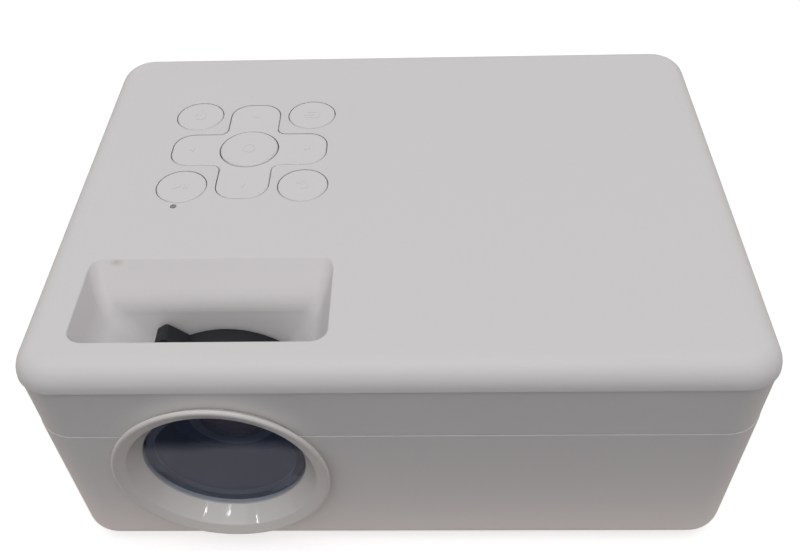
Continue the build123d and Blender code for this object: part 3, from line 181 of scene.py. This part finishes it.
def mottled_colour(finish, place, light, dark, patches):
    """Drifts between two colours, with that many patches in a metre."""
    cloud = node(finish, "TexNoise", {
        "Vector": place, "Scale": patches, "Detail": 5.0, "Roughness": 0.6})
    return two_colours(finish, cloud.outputs["Fac"], (*light, 1.0), (*dark, 1.0))


def uneven_polish(finish, place, low, high, patches):
    """Roughness that drifts between two values, as handling and moulding leave it."""
    noise = node(finish, "TexNoise", {"Vector": place, "Scale": patches, "Detail": 4.0})
    return node(finish, "MapRange", {
        "Value": noise.outputs["Fac"], "From Min": NOISE_LOW, "From Max": NOISE_HIGH,
        "To Min": low, "To Max": high}).outputs["Result"]


def grain(finish, place, grains, depth):
    """A fine bump, with that many grains in a metre and that depth in metres."""
    noise = node(finish, "TexNoise", {"Vector": place, "Scale": grains, "Detail": 2.0})
    return node(finish, "Bump", {
        "Height": noise.outputs["Fac"], "Distance": depth, "Strength": 1.0}).outputs["Normal"]


# %% The common finish
def worked_surface(finish, place, patches, grains, depth, polish):
    """Gives the shader an uneven polish and a fine grain."""
    shader = shader_of(finish)
    feed(finish, shader.inputs["Roughness"], uneven_polish(finish, place, *polish, patches))
    feed(finish, shader.inputs["Normal"], grain(finish, place, grains, depth))


def plain_finish(name, light, dark, patches, grains, depth, polish, **sockets):
    """Mottled colour on a worked surface.  Other values go to the shader as they are."""
    finish = blank_finish(name, **sockets)
    place = object_place(finish)
    colour = mottled_colour(finish, place, light, dark, patches)
    feed(finish, shader_of(finish).inputs["Base Color"], colour)
    worked_surface(finish, place, patches, grains, depth, polish)
    return finish


# %% [markdown]
# ## White plastic
#
# The case is matte white plastic with a fine sparked grain, and here and there it looks a
# touch pinker or greener.  The keys are the same plastic, moulded smoother.  The lens
# bezel is polished: under a clear, smooth coat its own surface stays soft, so it shows
# both sharp glints and an even white.

# %% Case, keys and bezel
case_white = plain_finish(
    "case_white", (0.700, 0.672, 0.680), (0.676, 0.676, 0.668),
    patches=22.0, grains=2600.0, depth=0.022 * MM, polish=(0.42, 0.52))
key_white = plain_finish(
    "key_white", (0.706, 0.684, 0.688), (0.690, 0.684, 0.678),
    patches=60.0, grains=3200.0, depth=0.006 * MM, polish=(0.36, 0.44))
bezel_white = plain_finish(
    "bezel_white", (0.668, 0.645, 0.628), (0.645, 0.628, 0.615),
    patches=40.0, grains=160.0, depth=0.004 * MM, polish=(0.45, 0.55),
    Coat_Weight=0.35, Coat_Roughness=0.04)

# %% [markdown]
# ## Painted light and a smear in the focus well
#
# Below its top edge the well is a little darker than the rest of the case, with a faint
# brown smear at the left end of its back slope.  Deep in the well a paler colour is
# painted light, which stands in for light on the well's low walls and floor.  The well
# is part of the case's top and has no material of its own, so each is a second colour of
# the case's finish, mixed in where its mask is one.  A mask is a product of ramps on the
# place: the box of the well seen from above, and the depth.

# %% Masks for the well
WELL_MIDDLE, WELL_HALF = (-62.0 * MM, -56.0 * MM), (43.0 * MM, 21.5 * MM)
WELL_FADE = 4.0 * MM
CASE_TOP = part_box("top_cover")[1].z
SLOPE_STARTS, SLOPE_FULL = CASE_TOP - 0.1 * MM, CASE_TOP - 0.4 * MM
DEPTH_STARTS, DEPTH_FULL = CASE_TOP - 6.0 * MM, CASE_TOP - 14.0 * MM

case_place = object_place(case_white)
case_axes = node(case_white, "SeparateXYZ", {"Vector": case_place}).outputs
in_well = 1.0
for axis, middle, half in zip("XY", WELL_MIDDLE, WELL_HALF):
    way = calculate(case_white, "SUBTRACT", case_axes[axis], middle)
    off = calculate(case_white, "ABSOLUTE", way)
    inside = ramp(case_white, off, half + WELL_FADE, half)
    in_well = calculate(case_white, "MULTIPLY", in_well, inside)
    print("well along", axis, [round((middle + side) / MM, 1) for side in (-half, half)], "mm")
# The second share places painted light deep in the well.
slope_share, deep_painted_light_share = (
    calculate(case_white, "MULTIPLY", in_well, ramp(case_white, case_axes["Z"], starts, full))
    for starts, full in ((SLOPE_STARTS, SLOPE_FULL), (DEPTH_STARTS, DEPTH_FULL)))
print("top of the case:", round(CASE_TOP / MM, 1), "mm")

# %% Mask for the smear
SMEAR_PLACE = (-94.7 * MM, -38.4 * MM, CASE_TOP - 0.2 * MM)
SMEAR_NARROWING = (1.0, 2.4, 1.0)  # along Y the smear is that much shorter
SMEAR_RADIUS = 3.0 * MM
SMEAR_SPECKS = 900.0  # in a metre

smear_way = node(case_white, "VectorMath", {0: case_place, 1: SMEAR_PLACE}, operation="SUBTRACT")
smear_oval = node(case_white, "VectorMath", {
    0: smear_way.outputs["Vector"], 1: SMEAR_NARROWING}, operation="MULTIPLY")
smear_off = node(case_white, "VectorMath", {0: smear_oval.outputs["Vector"]}, operation="LENGTH")
smear_cloud = node(case_white, "TexNoise", {
    "Vector": case_place, "Scale": SMEAR_SPECKS, "Detail": 3.0})
smear_near = ramp(case_white, smear_off.outputs["Value"], SMEAR_RADIUS, 0.0)
smear_share = calculate(case_white, "MULTIPLY", smear_cloud.outputs["Fac"], smear_near)

# %% Mix the well's colours, the painted light and the smear into the case's colour
# A little darker over the whole well below its top edge.
SLOPE_COLOUR = (0.648, 0.626, 0.630, 1.0)
# Painted light: a paler white deep in the well stands in for light on its low walls and floor.
DEEP_PAINTED_LIGHT_COLOUR = (0.850, 0.835, 0.835, 1.0)
SMEAR_COLOUR = (0.330, 0.310, 0.230, 1.0)
WELL_COLOURS_AND_PAINTED_LIGHT = ((slope_share, SLOPE_COLOUR), (deep_painted_light_share, DEEP_PAINTED_LIGHT_COLOUR), (smear_share, SMEAR_COLOUR))

case_colour = shader_of(case_white).inputs["Base Color"]
colour_with_smear_and_painted_light = case_colour.links[0].from_socket
# One of the mixed colours, deep in the well, is painted light.
for share, second in WELL_COLOURS_AND_PAINTED_LIGHT:
    colour_with_smear_and_painted_light = two_colours(case_white, share, colour_with_smear_and_painted_light, second)
feed(case_white, case_colour, colour_with_smear_and_painted_light)
print("colours mixed over the white of the case:", len(WELL_COLOURS_AND_PAINTED_LIGHT))

# %% [markdown]
# ## Black plastic, rubber and the status light
#
# The light engine, fan, disc tray, speaker frames and round sockets are black moulded
# plastic.  The lens barrel and its mount look navy, since coated glass lies before them,
# and the focus ring is a deeper black.  The feet and the speaker cones are duller, as
# rubber and treated paper are.  The status light is the grey, milky end of a plastic
# pipe, and it is off.  One black would do for them all, but side by side it looks false.

# %% Dark finishes
black_plastic = plain_finish(
    "black_plastic", (0.028, 0.028, 0.031), (0.018, 0.018, 0.020),
    patches=50.0, grains=1800.0, depth=0.020 * MM, polish=(0.40, 0.55))
barrel_black = plain_finish(
    "barrel_black", (0.016, 0.026, 0.060), (0.011, 0.018, 0.045),
    patches=50.0, grains=1400.0, depth=0.010 * MM, polish=(0.45, 0.60))
focus_black = plain_finish(
    "focus_black", (0.013, 0.014, 0.018), (0.009, 0.010, 0.013),
    patches=50.0, grains=1400.0, depth=0.010 * MM, polish=(0.45, 0.60),
    Specular_IOR_Level=0.35)
soft_rubber = plain_finish(
    "soft_rubber", (0.040, 0.040, 0.040), (0.028, 0.028, 0.029),
    patches=80.0, grains=900.0, depth=0.050 * MM, polish=(0.75, 0.90))
milky_pipe = plain_finish(
    "milky_pipe", (0.240, 0.232, 0.228), (0.210, 0.203, 0.200),
    patches=90.0, grains=2000.0, depth=0.004 * MM, polish=(0.25, 0.35))

# %% [markdown]
# ## Metals
#
# Plated steel for the disc drive's sheet and rods, the screws and the flat sockets,
# aluminium for the heat sink and brass for the threaded inserts.  Bare metal has no
# colour under its surface, so its Metallic value is one and its base colour tints what
# it mirrors.  The rings that hold the cover glass and the small inner lens are painted,
# so they have a paint's plain colour.

# %% Metal finishes
plated_steel = plain_finish(
    "plated_steel", (0.62, 0.62, 0.61), (0.54, 0.54, 0.54),
    patches=30.0, grains=900.0, depth=0.010 * MM, polish=(0.25, 0.42), Metallic=1.0)
bare_aluminium = plain_finish(
    "bare_aluminium", (0.74, 0.74, 0.75), (0.66, 0.67, 0.68),
    patches=30.0, grains=1500.0, depth=0.010 * MM, polish=(0.30, 0.45), Metallic=1.0)
turned_brass = plain_finish(
    "turned_brass", (0.70, 0.52, 0.24), (0.62, 0.45, 0.20),
    patches=60.0, grains=2000.0, depth=0.010 * MM, polish=(0.25, 0.38), Metallic=1.0)
ring_paint = plain_finish(
    "ring_paint", (0.085, 0.095, 0.125), (0.070, 0.078, 0.102),
    patches=80.0, grains=2000.0, depth=0.010 * MM, polish=(0.30, 0.42))

# %% [markdown]
# ## Circuit boards
#
# Green solder mask over copper tracks.  Tracks could be drawn one by one, but the boards
# lie hidden in the case, so a pattern is enough: long, low bricks in two greens stand for
# the parallel runs of track, and paler mortar for the gaps between them.

# %% Board finish
board_green = blank_finish("board_green")
board_place = object_place(board_green)
worked_surface(board_green, board_place,
               patches=90.0, grains=600.0, depth=0.010 * MM, polish=(0.30, 0.40))
tracks = node(board_green, "TexBrick", {
    "Vector": board_place, "Scale": 400.0,
    "Mortar Size": 0.03, "Brick Width": 6.0, "Row Height": 0.7,
    "Color1": (0.020, 0.120, 0.060, 1.0), "Color2": (0.030, 0.170, 0.085, 1.0),
    "Mortar": (0.055, 0.260, 0.130, 1.0)})
feed(board_green, shader_of(board_green).inputs["Base Color"], tracks.outputs["Color"])

# %% [markdown]
# ## Cover glass
#
# The flat cover glass is a thin clear sheet: what lies behind shows straight through it,
# and its two coated surfaces add a bluish reflection that grows towards a slanting view.
# A glass shader would bend the light twice for nothing and darken the lens behind, so
# this finish is a see-through and a mirror part in a mix that follows the slant.  Fine
# dust shows as a slightly uneven polish.

# %% Thin clear sheet
COVER_CLEAR, COVER_SHEEN = (0.90, 0.93, 0.97, 1.0), (0.74, 0.82, 1.0, 1.0)
MIRRORED_STRAIGHT_ON, MIRRORED_AT_A_SLANT = 0.045, 0.120
DUST_PATCHES = 120.0  # in a metre

cover_clear = blank_finish("cover_clear")
cover_polish = uneven_polish(
    cover_clear, object_place(cover_clear), low=0.0, high=0.008, patches=DUST_PATCHES)
cover_through = node(cover_clear, "BsdfTransparent", {"Color": COVER_CLEAR})
cover_mirror = node(cover_clear, "BsdfGlossy", {"Color": COVER_SHEEN, "Roughness": cover_polish})
cover_slant = node(cover_clear, "LayerWeight", {"Blend": 0.5})
cover_share = node(cover_clear, "MapRange", {
    "Value": cover_slant.outputs["Facing"],
    "To Min": MIRRORED_STRAIGHT_ON, "To Max": MIRRORED_AT_A_SLANT})
end_in_two_shaders(cover_clear, cover_share.outputs["Result"],
                   cover_through.outputs["BSDF"], cover_mirror.outputs["BSDF"])

# %% [markdown]
# ## Lenses and clear plates
#
# The thick lenses bend light as real glass does.  Their coating looks purple-brown, and
# it and the dust on it scatter some of the light, so not all of it is let through.  The
# plates of the light engine are clear plastic and glass, and the window of the remote
# control's receiver is smoked.

# %% Glass that bends light
LENS_LETS_THROUGH = 0.72


def glass_finish(name, tint, polish, through=1.0, **sockets):
    """Clear glass or plastic: light passes through, and a film of dust dulls it unevenly."""
    finish = blank_finish(name, Transmission_Weight=through, **sockets)
    shader = shader_of(finish)
    feed(finish, shader.inputs["Base Color"], (*tint, 1.0))
    feed(finish, shader.inputs["Roughness"],
         uneven_polish(finish, object_place(finish), *polish, DUST_PATCHES))
    return finish


lens_coated = glass_finish(
    "lens_coated", (0.42, 0.30, 0.32), polish=(0.0, 0.02), through=LENS_LETS_THROUGH,
    IOR=1.60, Specular_Tint=(0.80, 0.50, 0.85, 1.0))
plate_clear = glass_finish("plate_clear", (0.88, 0.92, 0.92), polish=(0.02, 0.08), IOR=1.49)
smoked_pipe = glass_finish("smoked_pipe", (0.16, 0.14, 0.14), polish=(0.10, 0.25), IOR=1.49)

# %% [markdown]
# ## Put the finishes on the pieces
#
# The frame's record names a material slot for every CAD piece.  Naming a finish piece by
# piece would be a long list with the same few words in it.  So one table turns slots
# into finishes, and a second one names the few pieces that differ from their slot.

# %% Assign finishes
FINISH_OF_SLOT = {
    "white_case": case_white,
    "white_gloss": bezel_white,
    "white_keys": key_white,
    "black_plastic": black_plastic,
    "lens_glass": lens_coated,
    "plate_glass": plate_clear,
    "retainer_metal": ring_paint,
    "sheet_steel": plated_steel,
    "aluminium_part": bare_aluminium,
    "brass_part": turned_brass,
    "circuit_board": board_green,
    "rubber_part": soft_rubber,
    "light_pipe": milky_pipe,
}
FINISH_OF_PIECE = {
    "focus_ring": focus_black,
    "cover_glass": cover_clear,
    "lens_barrel": barrel_black,
    "lens_mount": barrel_black,
    "remote_window": smoked_pipe,
}
for part in frame["record"]["subparts"]:
    name = part["node"]
    shown = frame["nodes"][name]
    shown.data.materials.clear()
    shown.data.materials.append(FINISH_OF_PIECE.get(name, FINISH_OF_SLOT[part["material_slot"]]))

# %% [markdown]
# ## Raised marks on the keys
#
# Each key carries a mark that is moulded a tenth of a millimetre proud of its top, in the
# same white.  They are plain signs: power, source, play, back, a ring on the middle key
# and an arrow on each arm of the four-way pad.  A bump in the material would not show at
# the mark's edge, so each is a shape: flat bars, bands and triangles are drawn on a plane
# and pushed up, and their edges catch the light.

# %% Shapes that the marks are made of
LINE = 0.55 * MM
ARC_STEPS = 28
HEAD_STEP = 0.015 * MM  # arrow heads stand this much higher, so that no two tops are level


def bar(mesh, centre, size):
    """A flat bar of that width and height, with its middle at centre (x, y)."""
    place = Matrix.Translation((*centre, 0.0)) @ Matrix.Diagonal((*size, 1.0, 1.0))
    bmesh.ops.create_grid(mesh, x_segments=1, y_segments=1, size=0.5, matrix=place)


def arrow_head(mesh, centre, size, turn=0.0):
    """A triangle that points along +X before it is turned."""
    place = Matrix.Translation((*centre, HEAD_STEP)) @ Matrix.Rotation(turn, 4, "Z")
    half = size / 2
    corners = ((-half, -half, 0.0), (half, 0.0, 0.0), (-half, half, 0.0))
    mesh.faces.new([mesh.verts.new(place @ Vector(corner)) for corner in corners])


def arc(mesh, radius, start, sweep):
    """A flat band round the middle, from one angle through another."""
    spoke = [mesh.verts.new((reach * cos(start), reach * sin(start), 0.0))
             for reach in (radius - LINE / 2, radius + LINE / 2)]
    edge = mesh.edges.new(spoke)
    bmesh.ops.spin(mesh, geom=[*spoke, edge], cent=(0, 0, 0), axis=(0, 0, 1), angle=sweep,
                   steps=ARC_STEPS, use_merge=isclose(sweep, 2 * pi))


# %% Raise a mark on its key
MARK_HEIGHT = 0.12 * MM
MARK_SUNK = 0.03 * MM


def key_top(node_name):
    """The middle of a key's top face, a touch below the surface."""
    low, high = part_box(node_name)
    return Vector(((low.x + high.x) / 2, (low.y + high.y) / 2, high.z - MARK_SUNK))


def raised_mark(name, body, centre, draw):
    """Draws a flat mark, gives it thickness and seats it on its key."""
    mesh = bmesh.new()
    draw(mesh)
    bmesh.ops.recalc_face_normals(mesh, faces=mesh.faces)
    flat = list(mesh.faces)
    pushed = bmesh.ops.extrude_face_region(mesh, geom=flat, use_keep_orig=True)
    lifted = [item for item in pushed["geom"] if isinstance(item, bmesh.types.BMVert)]
    bmesh.ops.translate(mesh, verts=lifted, vec=(0, 0, MARK_HEIGHT + MARK_SUNK))
    bmesh.ops.translate(mesh, verts=mesh.verts, vec=centre)
    bmesh.ops.recalc_face_normals(mesh, faces=mesh.faces)
    data = bpy.data.meshes.new(name)
    mesh.to_mesh(data)
    mesh.free()
    data.materials.append(key_white)
    piece = bpy.data.objects.new(name, data)
    bpy.context.scene.collection.objects.link(piece)
    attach(piece, body)
    print(name, "sits at", [round(part / MM, 1) for part in centre])


# %% Draw the marks
def draw_power(mesh):
    """A ring open towards the back, with a bar in the gap."""
    arc(mesh, radius=2.2 * MM, start=radians(120), sweep=radians(300))
    bar(mesh, centre=(0.0, 1.9 * MM), size=(LINE, 2.2 * MM))


def draw_source(mesh):
    """An arrow that enters a box by its open side."""
    open_side, closed_side, half_height = -1.8 * MM, 2.6 * MM, 1.7 * MM
    corner = closed_side - LINE / 2  # the level bars end where the upright one starts
    for y in (-half_height, half_height):
        bar(mesh, centre=((open_side + corner) / 2, y), size=(corner - open_side, LINE))
    bar(mesh, centre=(closed_side, 0.0), size=(LINE, 2 * half_height + LINE))
    bar(mesh, centre=(-2.0 * MM, 0.0), size=(2.6 * MM, LINE))
    arrow_head(mesh, centre=(0.1 * MM, 0.0), size=1.8 * MM)


def draw_play(mesh):
    """An arrow head for play, and two bars for pause."""
    arrow_head(mesh, centre=(-1.6 * MM, 0.0), size=3.0 * MM)
    for x in (1.0 * MM, 2.2 * MM):
        bar(mesh, centre=(x, 0.0), size=(LINE, 3.0 * MM))


def draw_back(mesh):
    """A hook that turns back to the left."""
    arc(mesh, radius=1.9 * MM, start=radians(-100), sweep=radians(240))
    arrow_head(mesh, centre=(-1.6 * MM, 1.5 * MM), size=1.8 * MM, turn=pi)


def draw_ring(mesh):
    arc(mesh, radius=2.3 * MM, start=0.0, sweep=2 * pi)


for key, draw in (("power_key", draw_power), ("source_key", draw_source),
                  ("play_key", draw_play), ("menu_key", draw_back), ("ok_key", draw_ring)):
    raised_mark(key.replace("_key", "_mark"), key, key_top(key), draw)

# %% Draw the four arrows of the pad
ARROW_SIZE = 2.4 * MM
pad_top = key_top("nav_pad")
ARROW_OUT = key_top("menu_key").x - pad_top.x  # in line with the keys at the corners
print("arrows stand", round(ARROW_OUT / MM, 1), "mm from the middle of the pad")
for way, turn in (("right", 0.0), ("back", pi / 2), ("left", pi), ("front", 3 * pi / 2)):
    centre = pad_top + ARROW_OUT * Vector((cos(turn), sin(turn), 0.0))
    draw_arrow = partial(arrow_head, centre=(0.0, 0.0), size=ARROW_SIZE, turn=turn)
    raised_mark("arrow_mark_" + way, "nav_pad", centre, draw_arrow)

# %% [markdown]
# ## Floor
#
# The photograph has a pure white surround.  The reflection in the cover glass tells what
# lay in front of it: a pale shelf that ended some 35 mm ahead of the case, with a dark
# room beyond.  The low front of the case is lit by that strip, so it grows paler towards
# its foot.  A shelf with a real edge would show in the picture.  So the floor is one
# plane with two faces: to the camera it is an even pale sheet that keeps the object's
# shadow, but to the light it is pale only up to the edge of the shelf.

# %% Floor plane
FLOOR_HALF = 3.0
FLOOR_GAP = 0.1 * MM  # just under the feet, so the two faces do not lie in one plane

floor_mesh = bmesh.new()
bmesh.ops.create_grid(floor_mesh, x_segments=1, y_segments=1, size=FLOOR_HALF)
floor_data = bpy.data.meshes.new("floor")
floor_mesh.to_mesh(floor_data)
floor_mesh.free()
floor = bpy.data.objects.new("floor", floor_data)
floor.location.z = -FLOOR_GAP
bpy.context.scene.collection.objects.link(floor)

# %% The floor as the light sees it
SHELF_EDGE = -125.0 * MM
EDGE_WAVE, EDGE_BLUR = 4.0 * MM, 1.5 * MM
SHELF_COLOUR, ROOM_COLOUR = (0.800, 0.690, 0.640, 1.0), (0.072, 0.074, 0.088, 1.0)

floor_pale = blank_finish("floor_pale", Roughness=0.9)
floor_place = object_place(floor_pale)
floor_axes = node(floor_pale, "SeparateXYZ", {"Vector": floor_place}).outputs
floor_waves = node(floor_pale, "TexNoise", {"Vector": floor_place, "Scale": 34.0, "Detail": 2.0})
edge_drift = node(floor_pale, "MapRange", {
    "Value": floor_waves.outputs["Fac"], "To Min": -EDGE_WAVE, "To Max": EDGE_WAVE})
edge_place = calculate(floor_pale, "ADD", floor_axes["Y"], edge_drift.outputs["Result"])
beyond_shelf = ramp(floor_pale, edge_place, SHELF_EDGE + EDGE_BLUR, SHELF_EDGE - EDGE_BLUR)
floor_shader = shader_of(floor_pale)
feed(floor_pale, floor_shader.inputs["Base Color"],
     two_colours(floor_pale, beyond_shelf, SHELF_COLOUR, ROOM_COLOUR))

# %% The floor as the camera sees it
WHITE = (1.0, 1.0, 1.0, 1.0)
SHEET_COLOUR, SHEET_GLOW = (0.62, 0.62, 0.62, 1.0), 0.62

floor_sheet = node(floor_pale, "BsdfDiffuse", {"Color": SHEET_COLOUR})
floor_glow = node(floor_pale, "Emission", {"Color": WHITE, "Strength": SHEET_GLOW})
floor_seen = node(floor_pale, "AddShader", {
    0: floor_sheet.outputs["BSDF"], 1: floor_glow.outputs["Emission"]})
floor_rays = node(floor_pale, "LightPath", {})
end_in_two_shaders(floor_pale, floor_rays.outputs["Is Camera Ray"],
                   floor_shader.outputs["BSDF"], floor_seen.outputs["Shader"])
floor_data.materials.append(floor_pale)

# %% [markdown]
# ## Surroundings
#
# The walls of a room send less light than its ceiling, so the sides of the case are
# darker than its top.  The world does the same: its light grows from the horizon to the
# zenith.  One even light would be simpler, but it makes the front as pale as the top.
# To the camera, and in mirrors and glass, the world is plain white, as the surround of
# the photograph is.

# %% World
HORIZON_LIGHT, ZENITH_LIGHT = 0.18, 0.73
SKY_COLOUR = (1.0, 0.985, 0.99, 1.0)

world = bpy.data.worlds.new("world")
bpy.context.scene.world = world
world.use_nodes = True
sky_place = node(world, "TexCoord", {}).outputs["Generated"]
sky_height = node(world, "SeparateXYZ", {"Vector": sky_place}).outputs["Z"]
sky_rise = node(world, "MapRange", {
    "Value": sky_height, "To Min": HORIZON_LIGHT, "To Max": ZENITH_LIGHT})
sky_light = world.node_tree.nodes["Background"]
feed(world, sky_light.inputs["Color"], SKY_COLOUR)
feed(world, sky_light.inputs["Strength"], sky_rise.outputs["Result"])
sky_white = node(world, "Background", {"Color": WHITE, "Strength": 1.0})
sky_rays = node(world, "LightPath", {}).outputs
sees_white = sky_rays["Is Camera Ray"]
for mirrored in ("Is Glossy Ray", "Is Transmission Ray"):
    sees_white = calculate(world, "MAXIMUM", sees_white, sky_rays[mirrored])
end_in_two_shaders(world, sees_white,
                   sky_light.outputs["Background"], sky_white.outputs["Background"])
print("the sky grows from", HORIZON_LIGHT, "at the horizon to", ZENITH_LIGHT, "overhead")

# %% [markdown]
# ## Lamps
#
# The shadows in the photograph are soft, so the light is large: one wide lamp hangs
# above and in front of the projector and faces it.  Three short glints stand in the low
# rim of the polished bezel, which mirrors far lights of the room.  They could be painted
# there, but then they would not move with the view.  So three small lamps hang far off,
# where the bezel mirrors them to that spot, and they are hidden from diffuse rays.

# %% Soft light from above and far glints
CEILING_PLACE, CEILING_TURN = (0.0, -0.50, 1.40), (20.3, 0.0, 0.0)
CEILING_SIDE, CEILING_POWER = 1.3, 7.0
FAR_POWER = 0.9
FAR_LAMPS = (
    # name, place, turn about the vertical, width, height
    ("far_lamp_left", (-1.913, -1.896, 2.2), 10.0, 0.14, 0.038),
    ("far_lamp_middle", (-0.168, -1.730, 2.2), -4.0, 0.20, 0.030),
    ("far_lamp_right", (1.140, -1.983, 2.2), -17.0, 0.14, 0.035),
)


def area_lamp(name, place, turn, width, height, power):
    """A rectangular lamp.  Unturned it faces down, and the turn is in degrees."""
    lamp = bpy.data.lights.new(name, "AREA")
    lamp.shape = "RECTANGLE"
    lamp.size = width
    lamp.size_y = height
    lamp.energy = power
    lamp_object = bpy.data.objects.new(name, lamp)
    lamp_object.location = place
    lamp_object.rotation_euler = [radians(angle) for angle in turn]
    bpy.context.scene.collection.objects.link(lamp_object)
    print(name, "hangs", round(lamp_object.location.length, 2), "m from the projector")
    return lamp_object


area_lamp("ceiling", CEILING_PLACE, CEILING_TURN, CEILING_SIDE, CEILING_SIDE, CEILING_POWER)
for name, place, turn, width, height in FAR_LAMPS:
    far_lamp = area_lamp(name, place, (0.0, 0.0, turn), width, height, FAR_POWER)
    far_lamp.visible_diffuse = False  # it glints in polished surfaces and lights nothing

# %% [markdown]
# ## Finish
#
# Blender's usual view would grey the white surround, so the Standard view is set, which
# shows colours as they are.

# %% Set the view and close
import json

bpy.context.scene.view_settings.view_transform = "Standard"
